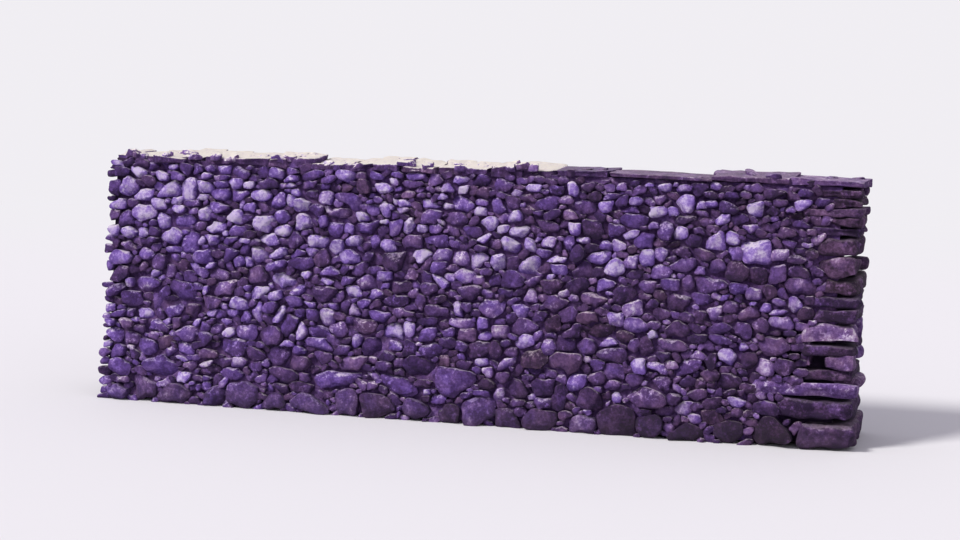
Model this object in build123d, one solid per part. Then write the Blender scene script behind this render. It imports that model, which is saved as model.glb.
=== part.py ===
from build123d import *
import math
import os
import random
from typing import NamedTuple

# A free-standing wall of dry stone, laid double with rubble between its two skins and ended by a built cheek.
# X runs along the wall with the cheek at +X, -Y is the front face, and Z is up from the footing's bed.

# Length of the wall
bay_count = 6
bay_length = 700.0
cheek_length = 300.0

# Footing course
footing_height = 150.0
footing_projection = 30.0
footing_lengths = (210.0, 155.0, 265.0, 180.0, 230.0, 150.0, 290.0, 170.0, 245.0, 200.0, 160.0)
footing_corner_cut = 30.0
cheek_footing_length = 320.0

# Section of the wall above the footing
base_width = 660.0
top_width = 420.0
hearting_width = 150.0

# Large stones of the faces, in rough courses: each stands out of a plane at the bottom of the face's joints
face_courses = (205.0, 190.0, 200.0, 175.0, 185.0, 170.0, 165.0)
face_lengths = (185.0, 150.0, 225.0, 165.0, 205.0, 145.0, 240.0, 175.0, 195.0)
face_recess = 26.0
face_joint = 12.0
least_rise = 16.0
greatest_rise = 36.0
least_corner_cut = 19.0
greatest_corner_cut = 48.0
share_of_corners_cut = 0.45
face_roughness = 10.0
second_face_shift = 3
least_slope = 22.0
greatest_slope = 38.0

# Through stones, which tie both skins where two bays meet: each one's bed, thickness and width
through_beds = (575.0, 660.0, 610.0, 690.0, 590.0)
through_thicknesses = (82.0, 96.0, 74.0, 88.0, 80.0)
through_widths = (190.0, 225.0, 170.0, 210.0, 240.0)

# Cover stones
cover_thicknesses = (58.0, 66.0, 48.0, 60.0, 72.0, 52.0, 64.0, 46.0, 70.0, 56.0, 62.0, 50.0)
cover_lengths = (400.0, 440.0, 590.0, 330.0, 380.0, 300.0, 420.0, 350.0, 300.0, 380.0, 340.0, 270.0)
cover_overhang = 14.0
cover_set_back = 22.0
cover_corner_cut = 72.0

# Stones in general
joint = 7.0
arris = 7.0
corner_cut = 16.0
face_play = 9.0
shortest_stone = 150.0


class Course(NamedTuple):
    """One course of the cheek: height, length along the faces, and whether one stone spans the wall."""

    height: float
    length: float
    spans: bool


cheek_courses = (
    Course(134.0, 430.0, True),
    Course(92.0, 590.0, False),
    Course(190.0, 300.0, True),
    Course(128.0, 305.0, False),
    Course(86.0, 260.0, True),
    Course(73.0, 275.0, False),
    Course(98.0, 210.0, True),
    Course(115.0, 262.0, False),
    Course(110.0, 250.0, True),
    Course(60.0, 290.0, False),
    Course(50.0, 180.0, True),
    Course(50.0, 320.0, False),
    Course(55.0, 200.0, True),
    Course(49.0, 270.0, False),
)
cheek_filler_length = 170.0

# Worked out from the sizes above
skin_height = sum(course.height for course in cheek_courses)
cover_bed = footing_height + skin_height
wall_run = bay_count * bay_length + cheek_length
left_end = -(wall_run + footing_projection) / 2
right_end = left_end + wall_run
batter = (base_width - top_width) / 2 / skin_height
face_scale = skin_height / sum(face_courses)


def half_width(z):
    """Half the wall's thickness at height z: the faces lean in from the footing to the covers."""
    return base_width / 2 - batter * (z - footing_height)


def bay_start(index):
    """The X where a bay begins, counted from 0 at the running end."""
    return left_end + index * bay_length


def stone(x0, x1, y0, y1, z0, z1, rng, cut=corner_cut):
    """A roughly squared stone: its corners are knocked off by differing amounts and its rims are worn."""
    corners = [(x0, y0, 1, 1), (x1, y0, -1, 1), (x1, y1, -1, -1), (x0, y1, 1, -1)]
    outline = []
    for number, (x, y, inward_x, inward_y) in enumerate(corners):
        along = rng.uniform(0.5, 1.0) * cut
        across = rng.uniform(0.5, 1.0) * cut
        on_x_edge = (x + inward_x * along, y)
        on_y_edge = (x, y + inward_y * across)
        outline += [on_y_edge, on_x_edge] if number % 2 == 0 else [on_x_edge, on_y_edge]
    face = make_face(Polyline(*outline, close=True))
    block = Pos(0, 0, z0) * extrude(face, amount=z1 - z0)
    rims = block.faces().sort_by(Axis.Z)
    worn = min(arris, (z1 - z0) / 5)
    return chamfer(rims[0].edges() + rims[-1].edges(), worn)


def laid_run(start, end, lengths):
    """Splits a run into stones of the given lengths in turn, the last one taking what is left."""
    spans = []
    x = start
    turn = 0
    while end - x > 1e-6:
        length = lengths[turn % len(lengths)]
        if end - (x + length) < shortest_stone:
            length = end - x
        spans.append((x, x + length))
        x += length
        turn += 1
    return spans


def footing_row(side):
    """The large bedding stones under one face, from the running end to the cheek's own footing."""
    rng = random.Random(f"footing {side}")
    lengths = footing_lengths if side < 0 else footing_lengths[4:] + footing_lengths[:4]
    outer = base_width / 2 + footing_projection
    stones = []
    for x0, x1 in laid_run(left_end, right_end - cheek_footing_length, lengths):
        reach = outer if not stones else outer - rng.uniform(0, face_play)
        y0, y1 = sorted((side * reach, side * joint / 2))
        stones.append(stone(x0, x1 - joint, y0, y1, 0, footing_height, rng, footing_corner_cut))
    return stones


def cheek_footing():
    """One broad stone across the whole wall, which carries the cheek."""
    outer = base_width / 2 + footing_projection
    rng = random.Random("cheek footing")
    x0 = right_end - cheek_footing_length
    x1 = right_end + footing_projection
    return [stone(x0, x1, -outer, outer, 0, footing_height, rng, footing_corner_cut)]


def stepped_end(reaches):
    """The X-Z region from the running end to a toothed end, with a step for each course of the cheek."""
    outline = [(left_end, footing_height)]
    z = footing_height
    for course, reach in zip(cheek_courses, reaches):
        if outline[-1] == (reach, z):
            outline.pop()
        else:
            outline.append((reach, z))
        z += course.height
        outline.append((reach, z))
    outline.append((left_end, cover_bed))
    return make_face(Plane.XZ * Polyline(*outline, close=True))


def skin_section(side):
    """The section of one skin out to the bottom of its joints: battered outside, upright at the hearting."""
    outline = [
        (side * hearting_width / 2, footing_height),
        (side * (half_width(footing_height) - face_recess), footing_height),
        (side * (half_width(cover_bed) - face_recess), cover_bed),
        (side * hearting_width / 2, cover_bed),
    ]
    return make_face(Plane.YZ * Polyline(*outline, close=True))


def face_plane(side):
    """The battered plane that a face's stones stand on: X along the wall, Y up the face, Z out of it."""
    foot = (0, side * (half_width(footing_height) - face_recess), footing_height)
    return Plane(origin=foot, x_dir=(-side, 0, 0), z_dir=(0, side, batter))


def face_stone(x0, x1, y0, y1, rng):
    """A large stone on the face's plane: a rough rectangle, some corners knocked off, narrowing outwards."""
    corners = [(x0, y0, 1, 1), (x1, y0, -1, 1), (x1, y1, -1, -1), (x0, y1, 1, -1)]
    outline = []
    for number, (x, y, inward_x, inward_y) in enumerate(corners):
        x += inward_x * rng.uniform(0, face_roughness)
        y += inward_y * rng.uniform(0, face_roughness)
        if rng.random() > share_of_corners_cut:
            outline.append((x, y))
            continue
        on_x_edge = (x + inward_x * rng.uniform(least_corner_cut, greatest_corner_cut), y)
        on_y_edge = (x, y + inward_y * rng.uniform(least_corner_cut, greatest_corner_cut))
        outline += [on_y_edge, on_x_edge] if number % 2 == 0 else [on_x_edge, on_y_edge]
    face = make_face(Polyline(*outline, close=True))
    rise = rng.uniform(least_rise, greatest_rise)
    return extrude(face, amount=rise, taper=rng.uniform(least_slope, greatest_slope))


def face_stones(side):
    """The large stones of one long face, course by course, each with the X where it starts and ends."""
    rng = random.Random(f"face {side}")
    plane = face_plane(side)
    slant = math.hypot(1, batter) * face_scale
    stones = []
    y = 0.0
    for number, height in enumerate(face_courses):
        turn = (2 * number + (second_face_shift if side > 0 else 0)) % len(face_lengths)
        lengths = face_lengths[turn:] + face_lengths[:turn]
        for x0, x1 in laid_run(left_end, right_end, lengths):
            along = sorted((-side * x0, -side * x1))
            bed = y + face_joint / 2
            top = y + height * slant - face_joint / 2 - rng.uniform(0, face_roughness)
            block = face_stone(along[0] + face_joint / 2, along[1] - face_joint / 2, bed, top, rng)
            stones.append((x0, x1, plane * block))
        y += height * slant
    return stones


def through_places():
    """The X, bed, thickness and width of each through stone, one at each meeting of two bays."""
    meetings = [bay_start(index) for index in range(1, bay_count)]
    return list(zip(meetings, through_beds, through_thicknesses, through_widths))


def through_pockets():
    """The pockets that the through stones take up in both skins and in the hearting."""
    pockets = []
    for middle, bed, thickness, width in through_places():
        hole = Box(width, 2 * base_width, thickness, align=(Align.CENTER, Align.CENTER, Align.MIN))
        pockets.append(Pos(middle, 0, bed) * hole)
    return pockets


def through_stones():
    """One long stone at each meeting of two bays, laid across the wall with both ends showing."""
    rng = random.Random("through stones")
    stones = []
    for middle, bed, thickness, width in through_places():
        reach = half_width(bed + thickness / 2)
        x0 = middle - width / 2
        x1 = middle + width / 2
        stones.append(stone(x0, x1, -reach, reach, bed, bed + thickness, rng))
    return stones


def skin_bays(side, toothing):
    """The skin of one face, cut into bays at the through stones; the last bay is toothed into the cheek."""
    bays = []
    pockets = through_pockets()
    stones = face_stones(side)
    for index in range(bay_count):
        start = bay_start(index)
        end = right_end if index == bay_count - 1 else bay_start(index + 1)
        room = Box(end - start, 2 * base_width, 2 * cover_bed, align=(Align.MIN, Align.CENTER, Align.CENTER))
        room = Pos(start, 0, 0) * room
        bay = Pos(start, 0, 0) * extrude(skin_section(side), amount=end - start, dir=(1, 0, 0))
        bay = bay.fuse(*[block & room for x0, x1, block in stones if x0 < end and x1 > start])
        if index == bay_count - 1:
            bay = bay & toothing
        for pocket in pockets[max(index - 1, 0) : index + 1]:
            bay = bay - pocket
        bays.append(bay)
    return bays


def cheek_course(course, z, rng):
    """One course of the cheek: a stone across the wall, or a runner on each face and a filler between."""
    z1 = z + course.height
    face = half_width(z + course.height / 2) - rng.uniform(0, face_play)
    end = right_end - rng.uniform(0, face_play)
    start = right_end - course.length
    if course.spans:
        return [stone(start, end, -face, face, z, z1, rng)]
    back = hearting_width / 2
    filler_start = right_end - cheek_filler_length
    return [
        stone(start, end, -face, -back, z, z1, rng),
        stone(filler_start, end - face_play, joint - back, back - joint, z, z1, rng),
        stone(start, end, back, face, z, z1, rng),
    ]


def cover_stones():
    """Flat slabs across the wall's top, laid from the cheek back to the running end."""
    slabs = []
    for number, (x0, x1) in enumerate(laid_run(0, wall_run, cover_lengths)):
        rng = random.Random(f"cover {number}")
        front = half_width(cover_bed) + rng.uniform(-cover_set_back, cover_overhang)
        back = half_width(cover_bed) + rng.uniform(-cover_set_back, cover_overhang)
        thickness = cover_thicknesses[number % len(cover_thicknesses)]
        slabs.append(
            stone(
                right_end - x1,
                right_end - x0 - joint,
                -front,
                back,
                cover_bed,
                cover_bed + thickness,
                rng,
                cover_corner_cut,
            )
        )
    return slabs


def toothed_band(reaches, width):
    """The toothed region as a solid, running across the given width about the wall's middle."""
    return extrude(stepped_end(reaches), amount=width / 2, both=True)


def write(name, solids):
    """Writes one node's file."""
    export_step(Compound(children=list(solids)) if len(solids) > 1 else solids[0], f"parts/{name}.step")


def build():
    """Builds every node and writes it."""
    os.makedirs("parts", exist_ok=True)
    write("footing_front", footing_row(-1))
    write("footing_back", footing_row(1))
    write("footing_cheek", cheek_footing())

    face_ends = [right_end - course.length for course in cheek_courses]
    skin_toothing = toothed_band(face_ends, 2 * base_width)
    for side, face in ((-1, "front"), (1, "back")):
        for number, bay in enumerate(skin_bays(side, skin_toothing), start=1):
            write(f"{face}_skin_bay_{number}", [bay])

    core_ends = [
        right_end - (course.length if course.spans else cheek_filler_length)
        for course in cheek_courses
    ]
    hearting = toothed_band(core_ends, hearting_width)
    for pocket in through_pockets():
        hearting = hearting - pocket
    write("hearting", [hearting])
    write("through_stones", through_stones())

    z = footing_height
    for number, course in enumerate(cheek_courses, start=1):
        write(f"cheek_course_{number:02d}", cheek_course(course, z, random.Random(f"cheek {number}")))
        z += course.height

    for number, slab in enumerate(cover_stones(), start=1):
        write(f"cover_stone_{number:02d}", [slab])


build()
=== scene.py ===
"""Dry stone wall with one built end: its stones, finishes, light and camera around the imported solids."""

import logging
import math
import random
from dataclasses import dataclass, field
from enum import Enum

import bpy
import numpy as np
from mathutils import Matrix, Vector
from mathutils.bvhtree import BVHTree


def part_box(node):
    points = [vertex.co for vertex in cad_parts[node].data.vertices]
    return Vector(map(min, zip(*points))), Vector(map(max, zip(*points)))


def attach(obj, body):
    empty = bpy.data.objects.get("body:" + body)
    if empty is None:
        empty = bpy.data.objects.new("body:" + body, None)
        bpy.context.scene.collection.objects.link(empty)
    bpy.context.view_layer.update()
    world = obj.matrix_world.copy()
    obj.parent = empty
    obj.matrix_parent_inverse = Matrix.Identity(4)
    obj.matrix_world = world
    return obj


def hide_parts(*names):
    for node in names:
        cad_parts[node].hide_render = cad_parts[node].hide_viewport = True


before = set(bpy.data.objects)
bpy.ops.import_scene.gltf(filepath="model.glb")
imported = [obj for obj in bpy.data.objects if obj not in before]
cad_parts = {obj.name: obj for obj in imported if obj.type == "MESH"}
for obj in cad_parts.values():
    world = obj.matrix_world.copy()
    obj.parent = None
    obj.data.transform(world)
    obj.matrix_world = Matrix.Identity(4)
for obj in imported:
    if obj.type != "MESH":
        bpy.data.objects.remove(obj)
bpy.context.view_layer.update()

log = logging.getLogger("dry_stone_wall")
BODY = "root"
FULL_TURN = 2.0 * math.pi


def smooth_rise(value: np.ndarray, start: float, end: float) -> np.ndarray:
    """A ramp from 0 at start to 1 at end with soft shoulders.

    Args:
        value: Numbers to place on the ramp.
        start: Where the ramp leaves 0.
        end: Where it reaches 1.

    Returns:
        The ramp's height for each number.
    """
    part = np.clip((value - start) / (end - start), 0.0, 1.0)
    return part * part * (3.0 - 2.0 * part)


def even_turns(count: int) -> np.ndarray:
    """Directions at even steps round a circle, in radians."""
    return np.arange(count) * FULL_TURN / count


def from_screen(red: int, green: int, blue: int) -> tuple[float, float, float, float]:
    """A screen colour of 0 to 255 as the linear colour that a socket takes.

    Args:
        red: Red level.
        green: Green level.
        blue: Blue level.

    Returns:
        Linear red, green, blue and an alpha of 1.
    """
    linear = []
    for level in (red, green, blue):
        part = level / 255.0
        linear.append(part / 12.92 if part <= 0.04045 else ((part + 0.055) / 1.055) ** 2.4)
    return linear[0], linear[1], linear[2], 1.0


@dataclass(frozen=True)
class WallSizes:
    """The wall's driving sizes in metres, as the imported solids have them."""

    length: float = 4.5
    footing_top: float = 0.150
    cover_bed: float = 1.440
    face_rise: float = 1.3
    base_width: float = 0.660
    top_width: float = 0.420
    stone_depth: float = 0.150
    joint: float = 0.008

    @property
    def batter(self) -> float:
        """How far a face leans in for each metre of height."""
        return (self.base_width - self.top_width) / 2.0 / (self.cover_bed - self.footing_top)

    def half_width(self, up: float) -> float:
        """Half of the wall's thickness at a height, from its batter."""
        return self.base_width / 2.0 - self.batter * (up - self.footing_top)


WALL = WallSizes()


class Side(Enum):
    """The two long faces, by the sign of the direction that each looks in along Y."""

    FRONT = -1
    BACK = 1


@dataclass
class Box:
    """A box by its lowest and highest corner, in metres."""

    low: np.ndarray
    high: np.ndarray

    @property
    def middle(self) -> np.ndarray:
        """The box's centre."""
        return (self.low + self.high) / 2.0

    @property
    def half(self) -> np.ndarray:
        """Half of the box's size on each axis."""
        return (self.high - self.low) / 2.0


def solids_of(node: str) -> list[Box]:
    """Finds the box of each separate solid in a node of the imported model.

    Args:
        node: The node's name.

    Returns:
        One box for each solid, ordered along X and then along Y.
    """
    steps_per_metre = 20000.0
    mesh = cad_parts[node].data
    places = np.array([corner.co for corner in mesh.vertices]).reshape(-1, 3)
    keys = [tuple(row) for row in np.round(places * steps_per_metre).astype(int)]
    leader = {key: key for key in keys}

    def head(key: tuple[int, ...]) -> tuple[int, ...]:
        """Follows the links from a corner to the one that stands for its solid.

        Args:
            key: The corner's place in whole steps.

        Returns:
            The place of the corner that stands for the solid.
        """
        while leader[key] != key:
            leader[key] = leader[leader[key]]
            key = leader[key]
        return key

    for polygon in mesh.polygons:
        corners = [keys[index] for index in polygon.vertices]
        for other in corners[1:]:
            leader[head(other)] = head(corners[0])
    groups: dict[tuple[int, ...], list[int]] = {}
    for index, key in enumerate(keys):
        groups.setdefault(head(key), []).append(index)
    boxes = [Box(places[members].min(0), places[members].max(0)) for members in groups.values()]
    return sorted(boxes, key=lambda box: (round(box.low[0], 3), round(box.low[1], 3)))


def node_names(start: str) -> list[str]:
    """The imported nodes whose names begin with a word, in order."""
    return sorted(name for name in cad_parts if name.startswith(start))


def cad_corner(which: str, axis: int, node: str) -> float:
    """One coordinate of a node's lowest or highest corner."""
    low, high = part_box(node)
    return float(low[axis] if which == "low" else high[axis])


class PackedFace:
    """The outer surface of one face's packed skins, whose main relief the stones follow."""

    SPOTS = ((0.0, 0.0), (-0.6, -0.6), (0.6, -0.6), (-0.6, 0.6), (0.6, 0.6))

    def __init__(self, side: Side) -> None:
        """Gathers the skins of a side into one tree that rays can be cast on.

        Args:
            side: The face whose skins are gathered.
        """
        points: list[Vector] = []
        faces: list[list[int]] = []
        for name in node_names(f"{side.name.lower()}_skin_bay_"):
            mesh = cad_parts[name].data
            start = len(points)
            points += [corner.co.copy() for corner in mesh.vertices]
            faces += [[start + index for index in polygon.vertices] for polygon in mesh.polygons]
        self.sign = float(side.value)
        self.tree = BVHTree.FromPolygons(points, faces)

    def relief(self, across: float, up: float, half_width: float, half_height: float) -> float:
        """Measures the relief that a stone covers.

        Args:
            across: The stone's place along the wall.
            up: Its height.
            half_width: Half of its width.
            half_height: Half of its height.

        Returns:
            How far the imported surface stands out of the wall's face there, on average.
        """
        depths = []
        for part_across, part_up in self.SPOTS:
            origin = Vector((across + part_across * half_width, self.sign, up + part_up * half_height))
            spot = self.tree.ray_cast(origin, Vector((0.0, -self.sign, 0.0)))[0]
            if spot is not None:
                depths.append(self.sign * spot.y - WALL.half_width(origin.z))
        return sum(depths) / len(depths) if depths else 0.0


def deselect_all() -> None:
    """Leaves nothing selected, so that an operator acts on the new piece alone."""
    for item in bpy.context.selected_objects:
        item.select_set(False)


def read_and_remove(item: bpy.types.Object) -> tuple[np.ndarray, np.ndarray]:
    """Reads a modelled form and takes it out of the scene.

    Args:
        item: The form.

    Returns:
        Its corners and its triangles.
    """
    mesh = item.data
    points = np.array([corner.co for corner in mesh.vertices]).reshape(-1, 3)
    faces = np.array([polygon.vertices[:] for polygon in mesh.polygons])
    bpy.data.objects.remove(item)
    bpy.data.meshes.remove(mesh)
    return points, faces


@dataclass
class RockForm:
    """A rock worked up from a cube. Its outline seen from the front is a circle of radius 1, and its
    front is at a depth of -1. Where the back is less than 1, it is cut off flat at that depth."""

    cuts: int
    roundness: float
    back: float
    belt: float = 0.26
    points: np.ndarray = field(init=False)
    faces: np.ndarray = field(init=False)

    def __post_init__(self) -> None:
        """Models the rock with mesh operators and reads its corners and triangles."""
        deselect_all()
        bpy.ops.mesh.primitive_cube_add(size=2.0)
        bpy.ops.object.mode_set(mode="EDIT")
        bpy.ops.mesh.select_all(action="SELECT")
        bpy.ops.mesh.subdivide(number_cuts=self.cuts)
        bpy.ops.transform.tosphere(value=self.roundness)
        if self.back < 1.0:
            bpy.ops.mesh.select_all(action="SELECT")
            bpy.ops.mesh.bisect(plane_co=(0.0, self.back, 0.0), plane_no=(0.0, 1.0, 0.0), use_fill=True,
                                clear_outer=True)
        bpy.ops.mesh.select_all(action="SELECT")
        bpy.ops.mesh.quads_convert_to_tris()
        bpy.ops.mesh.normals_make_consistent(inside=False)
        bpy.ops.object.mode_set(mode="OBJECT")
        self.points, self.faces = read_and_remove(bpy.context.object)
        self.points /= np.abs(self.points).max(0)

    def round_plan(self) -> np.ndarray:
        """Stretches the rock so that its widest ring, seen from the front, is the unit circle.

        Returns:
            Corners as across, up and depth.
        """
        across, depth, up = self.points.T
        radius = np.hypot(across, up)
        turn = np.arctan2(up, across)
        ring = (np.abs(depth) < self.belt) & (radius > 0.8)
        order = np.argsort(turn[ring])
        widest = np.interp(turn, turn[ring][order], radius[ring][order], period=FULL_TURN)
        part = np.minimum(radius / widest, 1.0)
        return np.column_stack((part * np.cos(turn), part * np.sin(turn), depth))


class NodeTree:
    """A short way to write a material's nodes."""

    def __init__(self, tree: bpy.types.NodeTree) -> None:
        """Keeps the tree that the nodes go into."""
        self.tree = tree

    def add(self, kind: str, inputs: dict | None = None, **settings: object) -> bpy.types.Node:
        """Adds a node.

        Args:
            kind: The node's type name.
            inputs: Values or output sockets for its inputs, by name or number.
            settings: Properties of the node.

        Returns:
            The new node.
        """
        node = self.tree.nodes.new(kind)
        for name, value in settings.items():
            setattr(node, name, value)
        for name, value in (inputs or {}).items():
            if isinstance(value, bpy.types.NodeSocket):
                self.tree.links.new(value, node.inputs[name])
            else:
                node.inputs[name].default_value = value
        return node

    def mark(self, name: str) -> bpy.types.NodeSocket:
        """The value that the stones carry under a name."""
        return self.add("ShaderNodeAttribute", attribute_name=name).outputs["Fac"]

    def math(self, operation: str, first: object, second: object = 0.0,
             clamp: bool = False) -> bpy.types.NodeSocket:
        """The result of a sum on two values or sockets."""
        node = self.add("ShaderNodeMath", {0: first, 1: second}, operation=operation, use_clamp=clamp)
        return node.outputs[0]

    def plus(self, first: object, second: object, clamp: bool = False) -> bpy.types.NodeSocket:
        """Two values or sockets added up."""
        return self.math("ADD", first, second, clamp)

    def times(self, first: object, second: object, clamp: bool = False) -> bpy.types.NodeSocket:
        """Two values or sockets multiplied."""
        return self.math("MULTIPLY", first, second, clamp)

    def swing(self, value: object, cloud: object, size: float, clamp: bool = False) -> bpy.types.NodeSocket:
        """A value that goes up and down with a cloud pattern, by half of a size each way."""
        return self.plus(value, self.times(self.math("SUBTRACT", cloud, 0.5), size), clamp)

    def noise(self, place: object, scale: float, detail: float, rough: float = 0.55) -> bpy.types.NodeSocket:
        """A cloud pattern of a given fineness."""
        inputs = {"Vector": place, "Scale": scale, "Detail": detail, "Roughness": rough}
        return self.add("ShaderNodeTexNoise", inputs).outputs["Fac"]

    def ramp(self, value: object, stops: tuple[tuple[float, tuple], ...]) -> bpy.types.NodeSocket:
        """Lays colours along a value.

        Args:
            value: The value or socket that picks the colour.
            stops: Place and colour of each stop.

        Returns:
            The socket of the colour.
        """
        node = self.add("ShaderNodeValToRGB", {0: value})
        elements = node.color_ramp.elements
        while len(elements) < len(stops):
            elements.new(0.5)
        for element, (place, colour) in zip(elements, stops):
            element.position = place
            element.color = colour
        return node.outputs["Color"]

    def rise(self, value: object, start: float, end: float) -> bpy.types.NodeSocket:
        """A soft step from 0 to 1 between two levels."""
        node = self.add("ShaderNodeMapRange", {0: value, 1: start, 2: end}, interpolation_type="SMOOTHSTEP")
        return node.outputs[0]

    def blend(self, factor: object, first: object, second: object, mode: str = "MIX") -> bpy.types.NodeSocket:
        """Two colours mixed by a factor."""
        node = self.add("ShaderNodeMix", {0: factor, 6: first, 7: second}, data_type="RGBA", blend_type=mode)
        return node.outputs[2]


COOL_STONE = (
    (0.0, from_screen(44, 26, 62)), (0.25, from_screen(76, 50, 106)), (0.48, from_screen(104, 74, 152)),
    (0.68, from_screen(138, 106, 192)), (0.86, from_screen(178, 151, 219)), (1.0, from_screen(210, 191, 234)))
WARM_STONE = (
    (0.0, from_screen(48, 31, 48)), (0.25, from_screen(86, 59, 92)), (0.48, from_screen(114, 82, 122)),
    (0.68, from_screen(146, 113, 156)), (0.86, from_screen(186, 163, 196)), (1.0, from_screen(218, 206, 220)))


@dataclass(frozen=True)
class Clouds:
    """The patterns that a finish's colour and surface share: the place on the object, the same with
    each stone's own shift, and clouds of three finenesses."""

    object_place: bpy.types.NodeSocket
    place: bpy.types.NodeSocket
    broad: bpy.types.NodeSocket
    middle: bpy.types.NodeSocket
    fine: bpy.types.NodeSocket


@dataclass(frozen=True)
class StoneFinish:
    """Weathered field stone: cool and warm ramps from dark to pale, mottling, lichen, joints darkened by
    grime and painted shade, and faces that look up made off-white by bleaching and painted sunlight.
    """

    name: str
    mottle: float = 0.12
    speckle: float = 0.10
    lichen: float = 0.55
    patch: float = 0.16
    # How far faces that look up are made paler and off-white: bleaching, and painted sunlight.
    bleach: float = 0.25
    # How far the joints take the hollow colour: grime, and painted shade.
    dirt_and_shade_strength: float = 0.75
    damp: float = 0.0
    relief: float = 0.0055
    # The colour deep in the joints, which stands for grime and for painted shade.
    hollow: tuple[int, int, int] = (80, 57, 98)
    # The off-white of faces that look up: bleaching, and painted sunlight.
    bleach_and_painted_sun_colour: tuple[int, int, int] = (250, 243, 224)
    wet: tuple[int, int, int] = (52, 44, 52)

    def clouds(self, nodes: NodeTree) -> Clouds:
        """Makes the patterns that the colour and the surface share.

        Args:
            nodes: The material's nodes.

        Returns:
            The patterns.
        """
        object_place = nodes.add("ShaderNodeTexCoord").outputs["Object"]
        shift = nodes.add("ShaderNodeCombineXYZ", {0: nodes.mark("grain"), 1: nodes.mark("grain")}).outputs[0]
        place = nodes.add("ShaderNodeVectorMath", {0: object_place, 1: shift}, operation="ADD").outputs[0]
        broad = nodes.rise(nodes.noise(place, 15.0, 3.0), 0.28, 0.72)
        middle = nodes.rise(nodes.noise(place, 60.0, 5.0, 0.68), 0.28, 0.72)
        fine = nodes.rise(nodes.noise(place, 260.0, 3.0, 0.7), 0.25, 0.75)
        return Clouds(object_place, place, broad, middle, fine)

    def paleness(self, nodes: NodeTree, clouds: Clouds, top: bpy.types.NodeSocket) -> bpy.types.NodeSocket:
        """Works out how pale the stone is, from its own mark (with painted light and shade in it), mottling,
        lichen, patches, and bleaching and painted sunlight on faces that look up.

        Args:
            nodes: The material's nodes.
            clouds: The shared patterns.
            top: 1 where a surface looks up, 0 elsewhere.

        Returns:
            The socket of the paleness, from 0 to 1.
        """
        value = nodes.swing(nodes.mark("paleness"), clouds.broad, self.mottle * 2.0)
        value = nodes.swing(value, clouds.middle, self.speckle * 2.0)
        value = nodes.swing(value, clouds.fine, self.speckle)
        lichen = nodes.rise(nodes.noise(clouds.place, 30.0, 5.0, 0.6), 0.56, 0.66)
        lichen = nodes.times(lichen, nodes.rise(nodes.noise(clouds.place, 5.0, 1.0), 0.42, 0.62))
        value = nodes.plus(value, nodes.times(lichen, self.lichen * 0.5))
        patch = nodes.rise(nodes.noise(clouds.place, 8.5, 4.0, 0.6), 0.53, 0.62)
        value = nodes.plus(value, nodes.times(patch, self.patch))
        # Faces that look up are made paler: bleaching, and painted sunlight.
        return nodes.plus(value, nodes.times(top, self.bleach), clamp=True)

    def colour(self, nodes: NodeTree, clouds: Clouds) -> bpy.types.NodeSocket:
        """Works out the stone's colour, with its top made off-white by bleaching and painted sunlight, its
        joints darkened by grime and painted shade, and its damp foot.

        Args:
            nodes: The material's nodes.
            clouds: The shared patterns.

        Returns:
            The socket of the colour.
        """
        normal = nodes.add("ShaderNodeNewGeometry").outputs["Normal"]
        upward = nodes.add("ShaderNodeSeparateXYZ", {0: normal}).outputs[2]
        top = nodes.rise(nodes.plus(upward, nodes.times(clouds.middle, 0.5)), 0.75, 1.2)
        value = self.paleness(nodes, clouds, top)
        tint = nodes.swing(nodes.mark("warmth"), clouds.broad, 0.6, clamp=True)
        colour = nodes.blend(tint, nodes.ramp(value, COOL_STONE), nodes.ramp(value, WARM_STONE))
        # Painted sunlight: faces that look up are drawn towards the off-white, for bleaching and for the sun
        # on them.
        weathering_and_painted_light = nodes.times(top, self.bleach, clamp=True)
        colour = nodes.blend(weathering_and_painted_light, colour, from_screen(*self.bleach_and_painted_sun_colour))
        # Painted shade: deep in the joints the colour is drawn towards the hollow colour, for grime and for
        # the shade that falls there.
        shelter = nodes.times(nodes.mark("shelter"), self.dirt_and_shade_strength, clamp=True)
        colour = nodes.blend(shelter, colour, from_screen(*self.hollow))
        if self.damp > 0.0:
            height = nodes.add("ShaderNodeSeparateXYZ", {0: clouds.object_place}).outputs[2]
            height = nodes.plus(height, nodes.times(clouds.middle, 0.12))
            low = nodes.math("SUBTRACT", 1.0, nodes.rise(height, 0.06, 0.30))
            colour = nodes.blend(nodes.times(low, self.damp), colour, from_screen(*self.wet))
        return colour

    def normal(self, nodes: NodeTree, clouds: Clouds) -> bpy.types.NodeSocket:
        """Works out the fine relief of the surface: uneven grain and small pits.

        Args:
            nodes: The material's nodes.
            clouds: The shared patterns.

        Returns:
            The socket of the bent normal.
        """
        pits = nodes.add("ShaderNodeTexVoronoi", {"Vector": clouds.place, "Scale": 95.0, "Randomness": 1.0})
        pit_depth = nodes.rise(pits.outputs["Distance"], 0.0, 0.45)
        surface = nodes.plus(nodes.noise(clouds.place, 36.0, 5.0, 0.62), nodes.times(clouds.fine, 0.35))
        surface = nodes.plus(surface, nodes.times(pit_depth, 0.25))
        inputs = {"Height": surface, "Strength": 0.9, "Distance": self.relief * 2.0}
        return nodes.add("ShaderNodeBump", inputs).outputs["Normal"]

    def material(self) -> bpy.types.Material:
        """Makes the finish's material, or finds it when it has been made.

        Returns:
            The material.
        """
        known = bpy.data.materials.get(self.name)
        if known:
            return known
        material = bpy.data.materials.new(self.name)
        material.use_nodes = True
        tree = material.node_tree
        shader = tree.nodes["Principled BSDF"]
        nodes = NodeTree(tree)
        clouds = self.clouds(nodes)
        rough = nodes.plus(0.78, nodes.times(clouds.middle, 0.28), clamp=True)
        tree.links.new(self.colour(nodes, clouds), shader.inputs["Base Color"])
        tree.links.new(rough, shader.inputs["Roughness"])
        tree.links.new(self.normal(nodes, clouds), shader.inputs["Normal"])
        shader.inputs["Specular IOR Level"].default_value = 0.28
        return material


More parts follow.
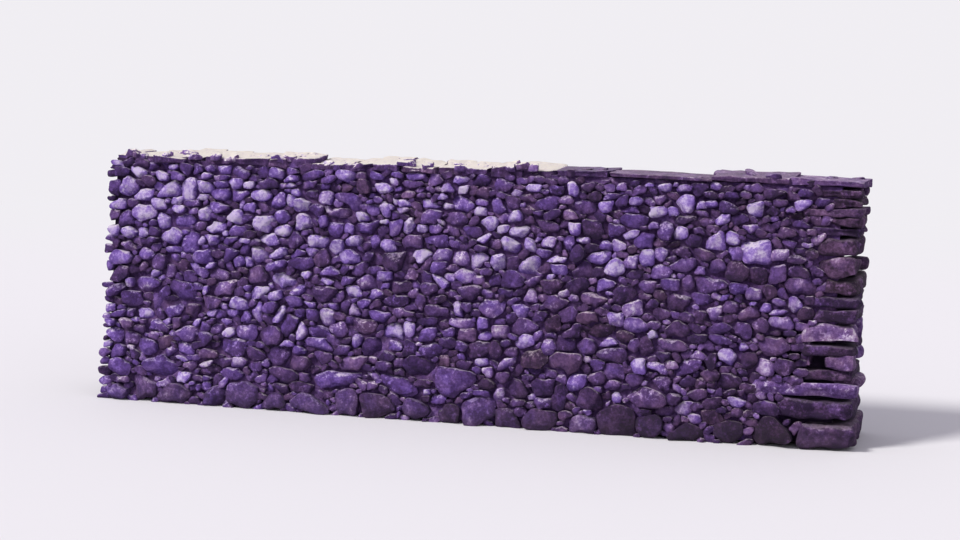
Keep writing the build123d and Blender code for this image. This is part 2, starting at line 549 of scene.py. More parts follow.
FACE_FINISH = StoneFinish("face_stone_finish")
FOOTING_FINISH = StoneFinish("footing_stone_finish", mottle=0.14, lichen=0.35, bleach=0.12, damp=0.4)
COVER_FINISH = StoneFinish("cover_stone_finish", mottle=0.13, speckle=0.12, lichen=0.5, bleach=0.12)
# Painted sunlight: strong off-white on faces that look up, for bleaching and for the sun on the wall's top.
BLEACHED_AND_PAINTED_SUN_COVER_FINISH = StoneFinish("bleached_cover_finish", mottle=0.13, speckle=0.12, lichen=0.6,
                                    bleach=0.80)
# Quoins: a darker hollow colour laid on more strongly, for grime and for painted shade in their joints and in
# the hole of the built end.
QUOIN_FINISH = StoneFinish("quoin_stone_finish", mottle=0.17, speckle=0.13, lichen=0.55, patch=0.24,
                           bleach=0.06, dirt_and_shade_strength=0.85, hollow=(48, 34, 57))
THROUGH_FINISH = StoneFinish("through_stone_finish", mottle=0.13, lichen=0.45)
# Hearting: a very dark hollow colour, for grime and for painted shade where the core shows behind the rubble.
HEARTING_FINISH = StoneFinish("hearting_finish", mottle=0.12, lichen=0.2, bleach=0.1, dirt_and_shade_strength=0.9,
                              hollow=(40, 28, 50))


@dataclass
class Looks:
    """What a finish reads from a stone: how pale and how warm it is, and its own shift of grain."""

    paleness: float
    warmth: float
    grain: float


@dataclass
class Setting:
    """Where a stone sits: a point of the face and the directions across, up and into the wall."""

    origin: np.ndarray
    across: np.ndarray
    up: np.ndarray
    inward: np.ndarray

    def place(self, local: np.ndarray) -> np.ndarray:
        """Turns corners given as across, up and inward into places in the wall's frame."""
        return self.origin + local @ np.array((self.across, self.up, self.inward))

    @property
    def mirrored(self) -> bool:
        """Whether the setting turns a right-handed shape inside out."""
        return float(np.dot(np.cross(self.across, self.inward), self.up)) < 0.0


class Heap:
    """Stones gathered into one mesh, with the marks that their finish reads."""

    def __init__(self) -> None:
        """Starts an empty heap."""
        self.points: list[np.ndarray] = []
        self.faces: list[np.ndarray] = []
        self.marks: dict[str, list[np.ndarray]] = {"paleness": [], "warmth": [], "grain": [], "shelter": []}
        self.count = 0
        self.stones = 0

    def add(self, points: np.ndarray, faces: np.ndarray, looks: Looks, shelter: np.ndarray,
            weathering_and_painted_light: np.ndarray) -> None:
        """Adds a stone.

        Args:
            points: Its corners in the wall's frame.
            faces: Its triangles, wound so that they face outwards.
            looks: Its paleness, warmth and grain.
            shelter: For each corner, 0 in the open and 1 deep in a joint, where grime and painted shade
                darken it.
            weathering_and_painted_light: For each corner, how much paler or darker it is made than the rest,
                from weathering and from painted light and shade across the stone.
        """
        self.points.append(points)
        self.faces.append(faces + self.count)
        self.count += len(points)
        self.stones += 1
        for name, value in (("warmth", looks.warmth), ("grain", looks.grain)):
            self.marks[name].append(np.full(len(points), value))
        # Painted light and shade, with weathering, are added to the stone's own paleness.
        self.marks["paleness"].append(looks.paleness + weathering_and_painted_light)
        self.marks["shelter"].append(shelter)

    def to_piece(self, name: str, finish: StoneFinish, slot: str, nodes: tuple[str, ...],
                 crease: float = 30.0) -> bpy.types.Object:
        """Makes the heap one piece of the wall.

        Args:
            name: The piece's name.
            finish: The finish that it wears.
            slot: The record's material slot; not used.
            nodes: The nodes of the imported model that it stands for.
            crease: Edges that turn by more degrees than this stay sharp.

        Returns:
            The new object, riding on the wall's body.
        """
        mesh = bpy.data.meshes.new(name)
        points = np.vstack(self.points)
        faces = np.vstack(self.faces)
        mesh.from_pydata(points.tolist(), [], faces.tolist())
        for mark, parts in self.marks.items():
            layer = mesh.attributes.new(mark, "FLOAT", "POINT")
            layer.data.foreach_set("value", np.concatenate(parts).astype(np.float32))
        mesh.update()
        piece = bpy.data.objects.new(name, mesh)
        bpy.context.scene.collection.objects.link(piece)
        mesh.materials.append(finish.material())
        deselect_all()
        piece.select_set(True)
        bpy.context.view_layer.objects.active = piece
        bpy.ops.object.shade_smooth_by_angle(angle=math.radians(crease))
        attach(piece, BODY)
        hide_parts(*nodes)
        log.info("%s: %d stones, %d triangles", name, self.stones, len(faces))
        return piece


RUNNING_END = cad_corner("low", 0, "hearting")


@dataclass(frozen=True)
class Cut:
    """How a block is broken out of its box: rounded rims, chips off its corners, larger ones off its
    corners in plan, then a wedge, unevenness, grain, tilt and a nod to the front, with a joint left
    above and below."""

    rim: float = 0.026
    chips: int = 18
    chip: float = 0.030
    plan_chips: int = 0
    plan_chip: float = 0.060
    wedge: float = 0.0
    ragged: float = 0.014
    grain: float = 0.002
    tilt: float = 0.0
    nod: float = 0.0
    joint: float = 0.0


@dataclass(frozen=True)
class Bend:
    """How a block's sides in Y follow the wall's faces: the outer sides lean in with the batter."""

    front: bool = False
    back: bool = False

    def follow(self, place: np.ndarray, box: Box) -> np.ndarray:
        """Leans the block's outer sides.

        Args:
            place: The block's corners in the wall's frame.
            box: The box that it fills, measured at its foot.

        Returns:
            The moved corners.
        """
        if not (self.front or self.back):
            return place
        part = (place[:, 1] - box.low[1]) / (box.high[1] - box.low[1])
        lean = (place[:, 2] - box.low[2]) * WALL.batter
        shift = np.zeros(len(place))
        if self.front:
            shift += lean * (1.0 - part)
        if self.back:
            shift -= lean * part
        moved = place.copy()
        moved[:, 1] += shift
        return moved


@dataclass
class Mason:
    """Shapes rocks: lumps that fill an outline of a face, and blocks that fill a box. The finer forms
    are for the larger stones."""

    small: RockForm
    medium: RockForm
    large: RockForm
    end: RockForm
    block: RockForm
    small_below: float = 0.036
    medium_below: float = 0.058
    most_bulge: float = 0.044
    most_lean: float = 0.38

    def facets(self, points: np.ndarray, random_source: random.Random, count: int,
               shallow: float, deep: float) -> np.ndarray:
        """Breaks flats into a rounded rock by pressing its points onto random planes.

        Args:
            points: Corners in the rock's own unit space, with depth last and the front at -1.
            random_source: Source of the random planes.
            count: How many planes.
            shallow: The largest distance of a plane from the middle.
            deep: The smallest distance.

        Returns:
            The moved corners.
        """
        for number in range(count):
            turn = random_source.uniform(0.0, FULL_TURN)
            tip = random_source.uniform(0.15, 0.75) if number < 3 else random_source.uniform(0.6, 1.35)
            aside = math.sin(tip)
            normal = np.array((aside * math.cos(turn), aside * math.sin(turn), -math.cos(tip)))
            reach = random_source.uniform(deep, shallow)
            over = np.maximum(points @ normal - reach, 0.0)
            points = points - over[:, None] * normal * 0.96
        return points

    def ripple(self, points: np.ndarray, random_source: random.Random, size: float, waves: int = 5,
               pace: float = 2.6) -> np.ndarray:
        """Uneven lumps over a rock.

        Args:
            points: Corners in the rock's own unit space.
            random_source: Source of the random waves.
            size: The height of the lumps.
            waves: How many waves are summed.
            pace: How closely the waves of the first size lie.

        Returns:
            A push for each corner, along its own direction from the middle.
        """
        push = np.zeros(len(points))
        for step in range(waves):
            grow = 1.0 + 0.75 * step
            direction = np.array([random_source.gauss(0.0, 1.0) for _ in range(3)])
            direction *= pace * grow / np.linalg.norm(direction)
            push += np.sin(points @ direction + random_source.uniform(0.0, 6.3)) / grow
        return push * size / 2.2

    def chip(self, radii: np.ndarray, random_source: random.Random, count: int) -> np.ndarray:
        """Knocks straight edges off an outline.

        Args:
            radii: Distances from the stone's centre, at even turns.
            random_source: Source of the random edges.
            count: How many edges.

        Returns:
            The shortened distances.
        """
        turns = even_turns(len(radii))
        for _ in range(count):
            turn = random_source.uniform(0.0, FULL_TURN)
            reach = float(np.interp(turn, turns, radii, period=FULL_TURN))
            reach *= random_source.uniform(0.76, 0.97)
            facing = np.cos(turns - turn)
            edge = reach / np.maximum(facing, 0.2)
            radii = np.where(facing > 0.2, np.minimum(radii, edge), radii)
        return radii

    def form_for(self, size: float, corner: bool) -> RockForm:
        """Picks the rock that a stone is made from.

        Args:
            size: The stone's mean radius.
            corner: Whether one of its sides shows too.

        Returns:
            The rock.
        """
        if corner:
            return self.end
        if size < self.small_below:
            return self.small
        return self.medium if size < self.medium_below else self.large

    def lean(self, mean: float, random_source: random.Random) -> float:
        """A random slope of a stone's front, within what a mason would lay."""
        return min(max(random_source.gauss(mean, 0.19), -self.most_lean), self.most_lean)

    def contained(self, place: np.ndarray) -> np.ndarray:
        """Draws in what stands too far out of the wall's running end and foot.

        Args:
            place: The stone's corners in the wall's frame.

        Returns:
            The same corners, moved.
        """
        past_end = place[:, 0] - RUNNING_END
        place[:, 0] = np.maximum(place[:, 0], RUNNING_END - 0.02 + 0.3 * past_end)
        past_foot = np.maximum(np.abs(place[:, 1]) - WALL.half_width(0.0) - 0.010, 0.0)
        place[:, 1] -= 0.6 * past_foot * np.sign(place[:, 1])
        place[:, 2] = np.maximum(place[:, 2], 0.0)
        return place

    def lump(self, heap: Heap, setting: Setting, radii: np.ndarray, looks: Looks,
             random_source: random.Random, proud: float, depth: float, corner: bool = False) -> None:
        """Adds a stone that fills an outline of a face.

        Args:
            heap: The heap that it joins.
            setting: Where it sits on the face.
            radii: Its outline as distances from its centre, at even turns from across towards up.
            looks: Its paleness, warmth and grain.
            random_source: Source of its random shape.
            proud: How far its front stands out of the face.
            depth: How far it reaches into the wall.
            corner: Whether one of its sides shows too.
        """
        size = float(radii.mean())
        form = self.form_for(size, corner)
        unit = form.round_plan()
        unit = self.facets(unit, random_source, random_source.randint(7, 10), 0.98, 0.64)
        outward = unit / np.maximum(np.linalg.norm(unit, axis=1), 0.3)[:, None]
        unit = unit + outward * self.ripple(unit, random_source, 0.07, pace=3.0)[:, None]
        turn = np.arctan2(unit[:, 1], unit[:, 0])
        radius = np.minimum(np.hypot(unit[:, 0], unit[:, 1]), 1.04)
        reach = np.interp(turn, even_turns(len(radii)), radii, period=FULL_TURN) * radius
        bulge = min(self.most_bulge, 0.60 * size) * random_source.uniform(0.65, 1.2)
        bulge *= 0.58 + 0.70 * looks.paleness
        behind = unit[:, 2] / form.back
        inward = np.where(unit[:, 2] < 0.0, bulge * (1.0 + unit[:, 2]), bulge + (depth - bulge) * behind)
        lean_across = self.lean(0.0, random_source)
        lean_up = self.lean(-0.02, random_source)
        local = np.column_stack((reach * np.cos(turn), reach * np.sin(turn), inward))
        local[:, :2] *= (1.0 - 0.14 * np.clip(behind, 0.0, 1.0))[:, None]
        near = 1.0 - smooth_rise(inward, bulge, bulge + 0.05)
        local[:, 2] += (local[:, 0] * lean_across + local[:, 1] * lean_up) * near - proud
        # Painted shade: corners deep in the joint take the hollow colour, for grime and for the shade there.
        shelter = smooth_rise(inward, bulge * 0.75, bulge + 0.036)
        # Painted light and shade: the stone is paler towards its upper left, where the key light falls, as
        # well as from weathering; its rim is darker as painted shade, most of all on pale stones.
        weathering_and_painted_light_strength = random_source.uniform(0.02, 0.11)
        weathering_and_painted_light = np.clip(local[:, 1] - 0.5 * local[:, 0], -size, size) / size * weathering_and_painted_light_strength
        weathering_and_painted_light -= (0.02 + 0.26 * looks.paleness) * smooth_rise(radius, 0.45, 1.0)
        faces = form.faces[:, ::-1] if setting.mirrored else form.faces
        heap.add(self.contained(setting.place(local)), faces, looks, shelter, weathering_and_painted_light)

    def broken(self, local: np.ndarray, half: np.ndarray, random_source: random.Random,
               cut: Cut) -> np.ndarray:
        """Breaks flats and corners off a block by pressing its points onto planes.

        Args:
            local: The block's corners about its own middle, in metres.
            half: Half of the block's size on each axis.
            random_source: Source of the random planes.
            cut: How many pieces are broken off and how large they are.

        Returns:
            The moved corners.
        """
        largest = min(cut.chip, 0.008 + 0.55 * float(half.min()))
        for number in range(cut.chips + cut.plan_chips):
            normal = np.array([random_source.gauss(0.0, 1.0) for _ in range(3)])
            size = largest
            if number >= cut.chips:
                normal[2] = 0.0
                size = cut.plan_chip
            normal /= np.linalg.norm(normal)
            reach = float((np.abs(normal) * half).sum()) - size * random_source.uniform(0.15, 1.0)
            over = np.maximum(local @ normal - reach, 0.0)
            local = local - over[:, None] * normal
        return local

    def rounded(self, half: np.ndarray, rim: float) -> np.ndarray:
        """Draws the block out to a size and rounds its rims.

        Args:
            half: Half of the size on each axis.
            rim: The radius of the rims.

        Returns:
            The corners about the block's middle, in metres.
        """
        flat = 0.6
        core = half - rim
        part = np.abs(self.block.points)
        place = np.where(part < flat, part / flat * core, core + (part - flat) / (1.0 - flat) * rim)
        over = np.maximum(place - core, 0.0)
        over *= rim / np.linalg.norm(over, axis=1)[:, None]
        return np.sign(self.block.points) * (np.minimum(place, core) + over)

    def slab(self, heap: Heap, box: Box, looks: Looks, random_source: random.Random, cut: Cut,
             open_sides: tuple[str, ...], bend: Bend) -> None:
        """Adds a block or slab that fills a box.

        Args:
            heap: The heap that it joins.
            box: The box that it fills.
            looks: Its paleness, warmth and grain.
            random_source: Source of its random shape.
            cut: How it is broken out of the box.
            open_sides: The sides that show: any of -x, +x, -y, +y, -z and +z.
            bend: How the block's sides follow the wall's batter.
        """
        half = box.half - np.array((0.0, 0.0, min(cut.joint / 2.0, 0.05 * float(box.half[2]))))
        local = self.rounded(half, min(cut.rim, 0.52 * float(half.min())))
        local = self.broken(local, half, random_source, cut)
        unit = local / half
        direction = unit / np.maximum(np.linalg.norm(unit, axis=1), 0.4)[:, None]
        local[:, 2] *= 1.0 + unit[:, 0] * random_source.gauss(0.0, cut.wedge)
        local[:, 2] *= 1.0 + unit[:, 1] * random_source.gauss(0.0, cut.wedge)
        coarse = local / 0.11 + random_source.uniform(0.0, 40.0)
        rough = self.ripple(coarse, random_source, 1.0, waves=6, pace=1.7)
        grain = self.ripple(local / 0.018, random_source, cut.grain, waves=4, pace=1.2)
        for axis in range(3):
            size = min(cut.ragged, 0.42 * float(half[axis]))
            local[:, axis] += direction[:, axis] * ((rough - 0.45) * size + grain)
        tilt_across = random_source.gauss(0.0, cut.tilt)
        tilt_aside = random_source.gauss(cut.nod, cut.tilt)
        local[:, 2] += local[:, 0] * tilt_across + local[:, 1] * tilt_aside
        place = bend.follow(box.middle + local, box)
        place[:, 2] = np.maximum(place[:, 2], 0.0)
        depth = np.full(len(place), 1.0)
        for side in open_sides:
            axis = "xyz".index(side[1])
            sign = 1.0 if side[0] == "+" else -1.0
            depth = np.minimum(depth, half[axis] - sign * local[:, axis])
        # Painted shade: corners away from the open sides, in the joints, take the hollow colour, for grime
        # and for the shade there.
        shelter = smooth_rise(depth, 0.014, 0.06)
        # Painted light: the upper part of the block is paler and the lower part darker, partly from
        # weathering.
        weathering_and_painted_light = np.clip(local[:, 2] / half[2], -1.0, 1.0) * random_source.uniform(0.02, 0.10)
        heap.add(place, self.block.faces, looks, shelter, weathering_and_painted_light)


class Kind(Enum):
    """What a stone of a long face is."""

    FACE = "face"
    FOOTING = "footing"
    THROUGH = "through"


@dataclass
class Seed:
    """A stone of a face before it is shaped: centre, half sizes, lean in degrees and looks."""

    across: float
    up: float
    half_width: float
    half_height: float
    lean: float
    looks: Looks
    fixed: bool = False
    proud: float = 0.0
    kind: Kind = Kind.FACE

    @property
    def row(self) -> tuple[float, ...]:
        """Centre, half sizes, and the cosine and sine of the lean."""
        lean = math.radians(self.lean)
        return self.across, self.up, self.half_width, self.half_height, math.cos(lean), math.sin(lean)


@dataclass
class Region:
    """The part of a plane that stones fill: a strip between two edges, less the stones already set."""

    left: float
    right: float
    bottom: float
    top: float
    taken: list[tuple[float, float, float, float]] = field(default_factory=list)
    narrowing: float = 0.0

    def free(self, across: np.ndarray, up: np.ndarray) -> np.ndarray:
        """Which places are open for a stone.

        Args:
            across: Places along the plane.
            up: Heights.

        Returns:
            True for each place inside the region and outside what is taken.
        """
        shrink = self.narrowing * (up - self.bottom)
        inside = (across > self.left + shrink) & (across < self.right - shrink)
        inside &= (up > self.bottom) & (up < self.top)
        for low, high, foot, head in self.taken:
            inside &= ~((across > low) & (across < high) & (up > foot) & (up < head))
        return inside


class Packing:
    """Fills a region with stones that meet their neighbours: centres first, then outlines grown
    until they touch."""

    TURNS = 28
    SQUARENESS = 4.0
    SPOTS = np.array(((0, 0), (-1, 0), (1, 0), (0, -1), (0, 1), (-0.7, -0.7), (0.7, -0.7), (-0.7, 0.7),
                      (0.7, 0.7)))
    SOFTNESS = 14.0
    FULLEST = 1.42
    SLIDE = 0.8
    CENTRE_OF_SLICE = 0.667

    def __init__(self, region: Region) -> None:
        """Starts an empty packing.

        Args:
            region: The region to fill.
        """
        self.region = region
        self.seeds: list[Seed] = []
        self.rows: list[tuple[float, ...]] = []
        self.outlines: list[np.ndarray] = []

    def table(self) -> np.ndarray:
        """The rows of all seeds, as one array."""
        return np.array([seed.row for seed in self.seeds]).reshape(-1, 6)

    def measure(self, rows: np.ndarray, across: np.ndarray, up: np.ndarray) -> np.ndarray:
        """How far places are from stones, in each stone's own half sizes.

        Args:
            rows: Seeds as the table gives them, one for each place or one for all.
            across: Places relative to the seeds' centres.
            up: Heights relative to the seeds' centres.

        Returns:
            1 on a stone's own outline, less inside and more outside.
        """
        along = np.abs(across * rows[..., 4] + up * rows[..., 5]) / rows[..., 2]
        aside = np.abs(up * rows[..., 4] - across * rows[..., 5]) / rows[..., 3]
        return (along ** self.SQUARENESS + aside ** self.SQUARENESS) ** (1.0 / self.SQUARENESS)

    def fits(self, seed: Seed, squeeze: float) -> bool:
        """Whether a new stone finds room.

        Args:
            seed: The new stone.
            squeeze: How much of the two stones' reach towards each other has to be free.

        Returns:
            True if it clears the others and stays in the region.
        """
        spots_across = seed.across + self.SPOTS[:, 0] * (seed.half_width * 0.8)
        spots_up = seed.up + self.SPOTS[:, 1] * (seed.half_height * 0.8)
        if not self.region.free(spots_across, spots_up).all():
            return False
        rows = np.array(self.rows).reshape(-1, 6)
        gap_across = rows[:, 0] - seed.across
        gap_up = rows[:, 1] - seed.up
        distance = np.hypot(gap_across, gap_up) + 1e-9
        near = distance < 0.30
        if not near.any():
            return True
        unit_across = gap_across[near] / distance[near]
        unit_up = gap_up[near] / distance[near]
        others = 1.0 / self.measure(rows[near], -unit_across, -unit_up)
        own = 1.0 / self.measure(np.array(seed.row), unit_across, unit_up)
        return bool(((own + others) * squeeze < distance[near]).all())

    def try_seed(self, seed: Seed, squeeze: float) -> None:
        """Adds a seed if it fits.

        Args:
            seed: The new stone.
            squeeze: How much of the stones' reach has to be free.
        """
        if self.fits(seed, squeeze):
            self.seeds.append(seed)
            self.rows.append(seed.row)

    def grow(self) -> None:
        """Grows every stone's outline until it meets its neighbours or the region's edge."""
        rows = self.table()
        turns = even_turns(self.TURNS)
        unit_across = np.cos(turns)
        unit_up = np.sin(turns)
        parts = np.linspace(0.35, 1.7, 27)
        self.outlines = []
        for row in rows:
            own = 1.0 / self.measure(row, unit_across, unit_up)
            distance = np.hypot(rows[:, 0] - row[0], rows[:, 1] - row[1])
            others = rows[(distance < 0.34) & (distance > 1e-6)]
            radius = own[:, None] * parts[None, :]
            across = row[0] + unit_across[:, None] * radius
            up = row[1] + unit_up[:, None] * radius
            open_spots = self.region.free(across, up)
            if len(others):
                away = self.measure(others[:, None, None, :], across[None] - others[:, 0, None, None],
                                    up[None] - others[:, 1, None, None]).min(0)
                open_spots &= parts[None, :] < away
            open_spots[:, 0] = True
            steps = np.argmin(np.column_stack((open_spots, np.zeros(self.TURNS, bool))), axis=1)
            last = parts[np.minimum(steps, len(parts)) - 1]
            following = parts[np.minimum(steps, len(parts) - 1)]
            limit = (last + following) / 2.0
            soft = np.exp(-self.SOFTNESS * limit) + math.exp(-self.SOFTNESS * self.FULLEST)
            reach = own * (-np.log(soft) / self.SOFTNESS)
            reach = 0.14 * np.roll(reach, 1) + 0.72 * reach + 0.14 * np.roll(reach, -1)
            self.outlines.append(np.minimum(reach, own * limit))

    def hulls(self, outlines: np.ndarray) -> np.ndarray:
        """Stretches a string around each outline.

        Args:
            outlines: Distances from the stones' centres, a row for each stone.

        Returns:
            The distances of the string.
        """
        step = FULL_TURN / self.TURNS
        near = 1.0 / outlines
        tight = near.copy()
        for before in range(1, self.TURNS // 2 - 1):
            for after in range(1, self.TURNS // 2 - before):
                chord = np.roll(near, before, axis=1) * math.sin(after * step)
                chord += np.roll(near, -after, axis=1) * math.sin(before * step)
                tight = np.minimum(tight, chord / math.sin((before + after) * step))
        return 1.0 / tight

    def make_whole(self, rounds: int = 3, shallow: float = 0.05, filled: float = 0.85) -> None:
        """Gives each outline the shape of a whole stone: deep hollows are cut back to, shallow ones filled.

        Args:
            rounds: How many hollows of an outline may be cut back to.
            shallow: How deep a hollow may be before it is cut back to, as a part of the stone.
            filled: How much of a shallow hollow is filled.
        """
        outlines = np.array(self.outlines)
        turns = even_turns(self.TURNS)
        rows = np.arange(len(outlines))
        for _ in range(rounds):
            hollow = self.hulls(outlines) / outlines - 1.0
            worst = hollow.argmax(1)
            facing = np.cos(turns[None, :] - turns[worst][:, None])
            edge = outlines[rows, worst][:, None] * 1.03 / np.maximum(facing, 0.2)
            cut = (facing > 0.2) & (hollow[rows, worst] > shallow)[:, None]
            outlines = np.where(cut, np.minimum(outlines, edge), outlines)
        self.outlines = list(outlines + filled * (self.hulls(outlines) - outlines))

    def settle(self, rounds: int) -> None:
        """Lets loose stones slide and swell into the room that their outlines found.

        Args:
            rounds: How many times the stones are moved and grown again.
        """
        turns = even_turns(self.TURNS)
        for _ in range(rounds):
            self.grow()
            for seed, radii in zip(self.seeds, self.outlines):
                if seed.fixed:
                    continue
                across = radii * np.cos(turns)
                up = radii * np.sin(turns)
                weight = radii * radii
                total = weight.sum()
                seed.across += self.SLIDE * float((across * weight).sum() / total) * self.CENTRE_OF_SLICE
                seed.up += self.SLIDE * float((up * weight).sum() / total) * self.CENTRE_OF_SLICE
                cosine, sine = seed.row[4:]
                along = across * cosine + up * sine
                aside = up * cosine - across * sine
                seed.half_width += 0.5 * (float(along.max() - along.min()) / 2.0 - seed.half_width)
                seed.half_height += 0.5 * (float(aside.max() - aside.min()) / 2.0 - seed.half_height)
        self.grow()
        self.make_whole()

    def gap_seeds(self, spacing: float, smallest: float, largest: float) -> list[tuple[float, float, float]]:
        """Finds the holes that the grown stones leave.

        Args:
            spacing: The distance between the places that are tested.
            smallest: The smallest radius of a hole that counts.
            largest: The largest radius that a hole is given.

        Returns:
            Centre and radius of each hole.
        """
        region = self.region
        across, up = np.meshgrid(np.arange(region.left, region.right, spacing),
                                 np.arange(region.bottom, region.top, spacing))
        across = across.ravel()
        up = up.ravel()
        room = np.full(len(across), largest)
        turns = even_turns(self.TURNS)
        for seed, radii in zip(self.seeds, self.outlines):
            gap_across = across - seed.across
            gap_up = up - seed.up
            distance = np.hypot(gap_across, gap_up)
            near = distance < 0.20
            own = np.interp(np.arctan2(gap_up[near], gap_across[near]), turns, radii, period=FULL_TURN)
            room[near] = np.minimum(room[near], distance[near] - own)
        room[~region.free(across, up)] = 0.0
        holes: list[tuple[float, float, float]] = []
        for index in np.argsort(-room):
            if room[index] < smallest:
                break
            spot = (float(across[index]), float(up[index]), float(room[index]))
            if all(math.hypot(spot[0] - h[0], spot[1] - h[1]) > (spot[2] + h[2]) * 0.9 for h in holes):
                holes.append(spot)
        return holes


class Tone(Enum):
    """How pale a stone that was picked out is."""

    BRIGHT = 0.93
    PALE = 0.72
    MIDDLE = 0.44
    DULL = 0.20


# Stones that stand out on the front face: distance from the left end, height, width, height of the
# stone in millimetres, and its lean in degrees.
BRIGHT_STONES = (
    (40, 1015, 70, 80, 0), (150, 1010, 100, 90, 0), (230, 1015, 80, 55, 0), (195, 1375, 90, 75, -30),
    (345, 1360, 85, 75, -20), (410, 1415, 60, 50, 0), (240, 1240, 90, 130, -25), (385, 1285, 130, 105, 15),
    (520, 1280, 80, 125, 5), (620, 1300, 90, 90, 0), (460, 1160, 100, 50, 5), (625, 1150, 75, 100, 0),
    (365, 1075, 75, 105, 10), (815, 1130, 150, 85, 12), (690, 1065, 170, 60, 8), (1000, 1100, 90, 145, -28),
    (1125, 1060, 90, 80, 0), (905, 1330, 70, 70, 0), (985, 1265, 120, 80, 10), (1165, 1335, 90, 38, 12),
    (1240, 1230, 70, 100, 0), (875, 995, 85, 36, 0), (1350, 1020, 100, 90, 20), (1465, 980, 60, 110, -10),
    (1609, 1165, 90, 70, 10), (1904, 1140, 60, 135, -30), (1969, 1115, 80, 55, 0), (2214, 1355, 60, 50, 0),
    (2334, 1235, 65, 48, 0), (2539, 1215, 55, 80, 0), (2639, 1375, 140, 55, 0), (2859, 1380, 75, 90, 0),
    (3049, 1290, 110, 60, 12), (2389, 1170, 100, 70, 5), (2464, 1140, 70, 60, 0), (2559, 1130, 110, 70, 14),
    (2339, 1070, 200, 46, 9), (2494, 1050, 110, 80, 0), (2629, 1050, 80, 80, 0), (2884, 1165, 70, 90, 0),
    (2934, 1095, 90, 46, 8), (1979, 955, 110, 90, 0), (2439, 940, 90, 110, -8), (2619, 940, 90, 120, -18),
    (2799, 980, 120, 55, 6), (3133, 955, 80, 140, -4), (3198, 1130, 90, 60, 8), (3313, 1025, 90, 100, 8),
    (3513, 1335, 80, 90, 0), (3353, 1275, 75, 70, 0), (3443, 1275, 55, 50, 0), (3388, 1410, 100, 46, 12),
    (3893, 1310, 100, 76, 8), (4168, 1355, 85, 55, 15), (3683, 1125, 110, 90, 8), (3773, 1145, 70, 80, 0),
    (3488, 1155, 75, 75, 0), (3913, 1078, 128, 138, 0), (3733, 1255, 75, 60, 0), (3363, 582, 60, 60, 0),
    (3788, 480, 105, 95, 0), (3853, 240, 125, 75, 0), (3293, 410, 75, 90, 0))
PALE_STONES = (
    (115, 1290, 80, 105, 0), (325, 1195, 110, 60, 5), (225, 1140, 110, 105, 0), (70, 1175, 90, 60, 0),
    (1070, 1395, 80, 60, 0), (1385, 1260, 75, 95, 0), (1240, 1125, 130, 95, 10), (985, 580, 65, 120, -6),
    (1130, 585, 65, 130, -22), (860, 630, 100, 95, 0), (1430, 570, 100, 90, 0), (1270, 470, 70, 130, -5),
    (815, 445, 75, 65, 0), (690, 255, 125, 55, 0), (875, 280, 130, 70, 5), (530, 165, 90, 80, 0),
    (1095, 685, 85, 75, 0), (1425, 775, 85, 50, 0), (1290, 820, 130, 40, 4), (150, 715, 60, 70, 0),
    (1509, 1395, 100, 80, 0), (1779, 1005, 110, 90, 0), (2114, 980, 90, 80, 0), (2224, 955, 90, 90, 0),
    (1709, 720, 115, 60, 0), (1774, 830, 85, 60, 0), (2644, 765, 70, 90, 0), (1589, 620, 70, 80, 0),
    (2359, 590, 60, 90, 0), (2479, 545, 95, 80, 0), (2769, 475, 65, 105, 0), (2529, 375, 150, 60, 8),
    (2484, 200, 45, 80, 0), (2409, 310, 65, 60, 0), (1614, 440, 46, 150, 0), (2204, 985, 70, 60, 0),
    (4098, 685, 170, 72, 0), (3268, 630, 120, 80, 0), (3413, 405, 130, 65, 0), (3613, 490, 130, 50, 0),
    (3998, 440, 110, 90, 0), (3553, 180, 80, 80, 0), (3698, 730, 85, 70, 0), (3063, 850, 100, 80, 0),
    (2004, 1265, 130, 60, 4), (1849, 1215, 90, 46, 0), (3663, 1335, 60, 48, 0), (3068, 1080, 70, 60, 0),
    (3143, 1075, 60, 60, 0), (4203, 1125, 90, 34, 0), (4053, 1072, 80, 60, 0), (4148, 795, 80, 95, -20),
    (4053, 808, 75, 36, 0), (3408, 643, 65, 34, 0), (3138, 660, 90, 85, 0), (3098, 805, 60, 34, 0),
    (3223, 985, 95, 75, 20), (3383, 1040, 70, 80, 0), (3613, 960, 55, 65, 0), (3068, 1393, 65, 40, 0),
    (3133, 1405, 50, 40, 0), (3498, 1415, 90, 46, 12), (3338, 1198, 65, 52, 0), (3613, 1280, 75, 34, 0),
    (4093, 1318, 50, 38, 0), (4018, 1270, 60, 34, 0), (3873, 1205, 120, 60, 10), (3918, 840, 85, 80, 0))
MIDDLE_STONES = (
    (540, 955, 90, 155, 0), (925, 450, 150, 90, 0), (545, 425, 130, 100, 0), (290, 325, 90, 155, 0),
    (890, 220, 180, 140, 0), (731, 215, 130, 100, 0), (2409, 680, 180, 120, 0), (2194, 245, 230, 160, 0),
    (1599, 310, 250, 95, 0), (3323, 225, 200, 130, 0), (4058, 570, 250, 95, 0), (3678, 880, 170, 95, 0),
    (3478, 530, 200, 88, 0), (2984, 490, 100, 90, 0), (2274, 315, 60, 120, 0), (3578, 410, 130, 90, 0),
    (4075, 1192, 265, 54, 0), (4108, 1130, 110, 42, 0), (4038, 962, 105, 95, 20), (4173, 900, 200, 80, 12),
    (3708, 985, 110, 80, 20), (4068, 885, 60, 105, 0), (3743, 640, 130, 60, 0), (3863, 635, 100, 85, 0),
    (3753, 572, 170, 62, 4), (3943, 345, 70, 80, 0), (3433, 318, 180, 70, 0), (3628, 270, 180, 70, 8),
    (3043, 315, 90, 80, 0), (3158, 360, 100, 85, 0), (3263, 315, 75, 75, 0), (3113, 460, 130, 75, 0),
    (3028, 755, 140, 90, 0), (3308, 855, 140, 75, 0), (3443, 875, 120, 70, 12), (3393, 935, 110, 75, 10),
    (3798, 765, 85, 65, 0), (3893, 735, 90, 75, 0), (3833, 865, 90, 55, 0), (3243, 1385, 90, 60, 0),
    (3358, 1338, 80, 45, 0), (3843, 1392, 50, 45, 0), (3603, 1180, 95, 45, 0), (3548, 885, 60, 70, 0))
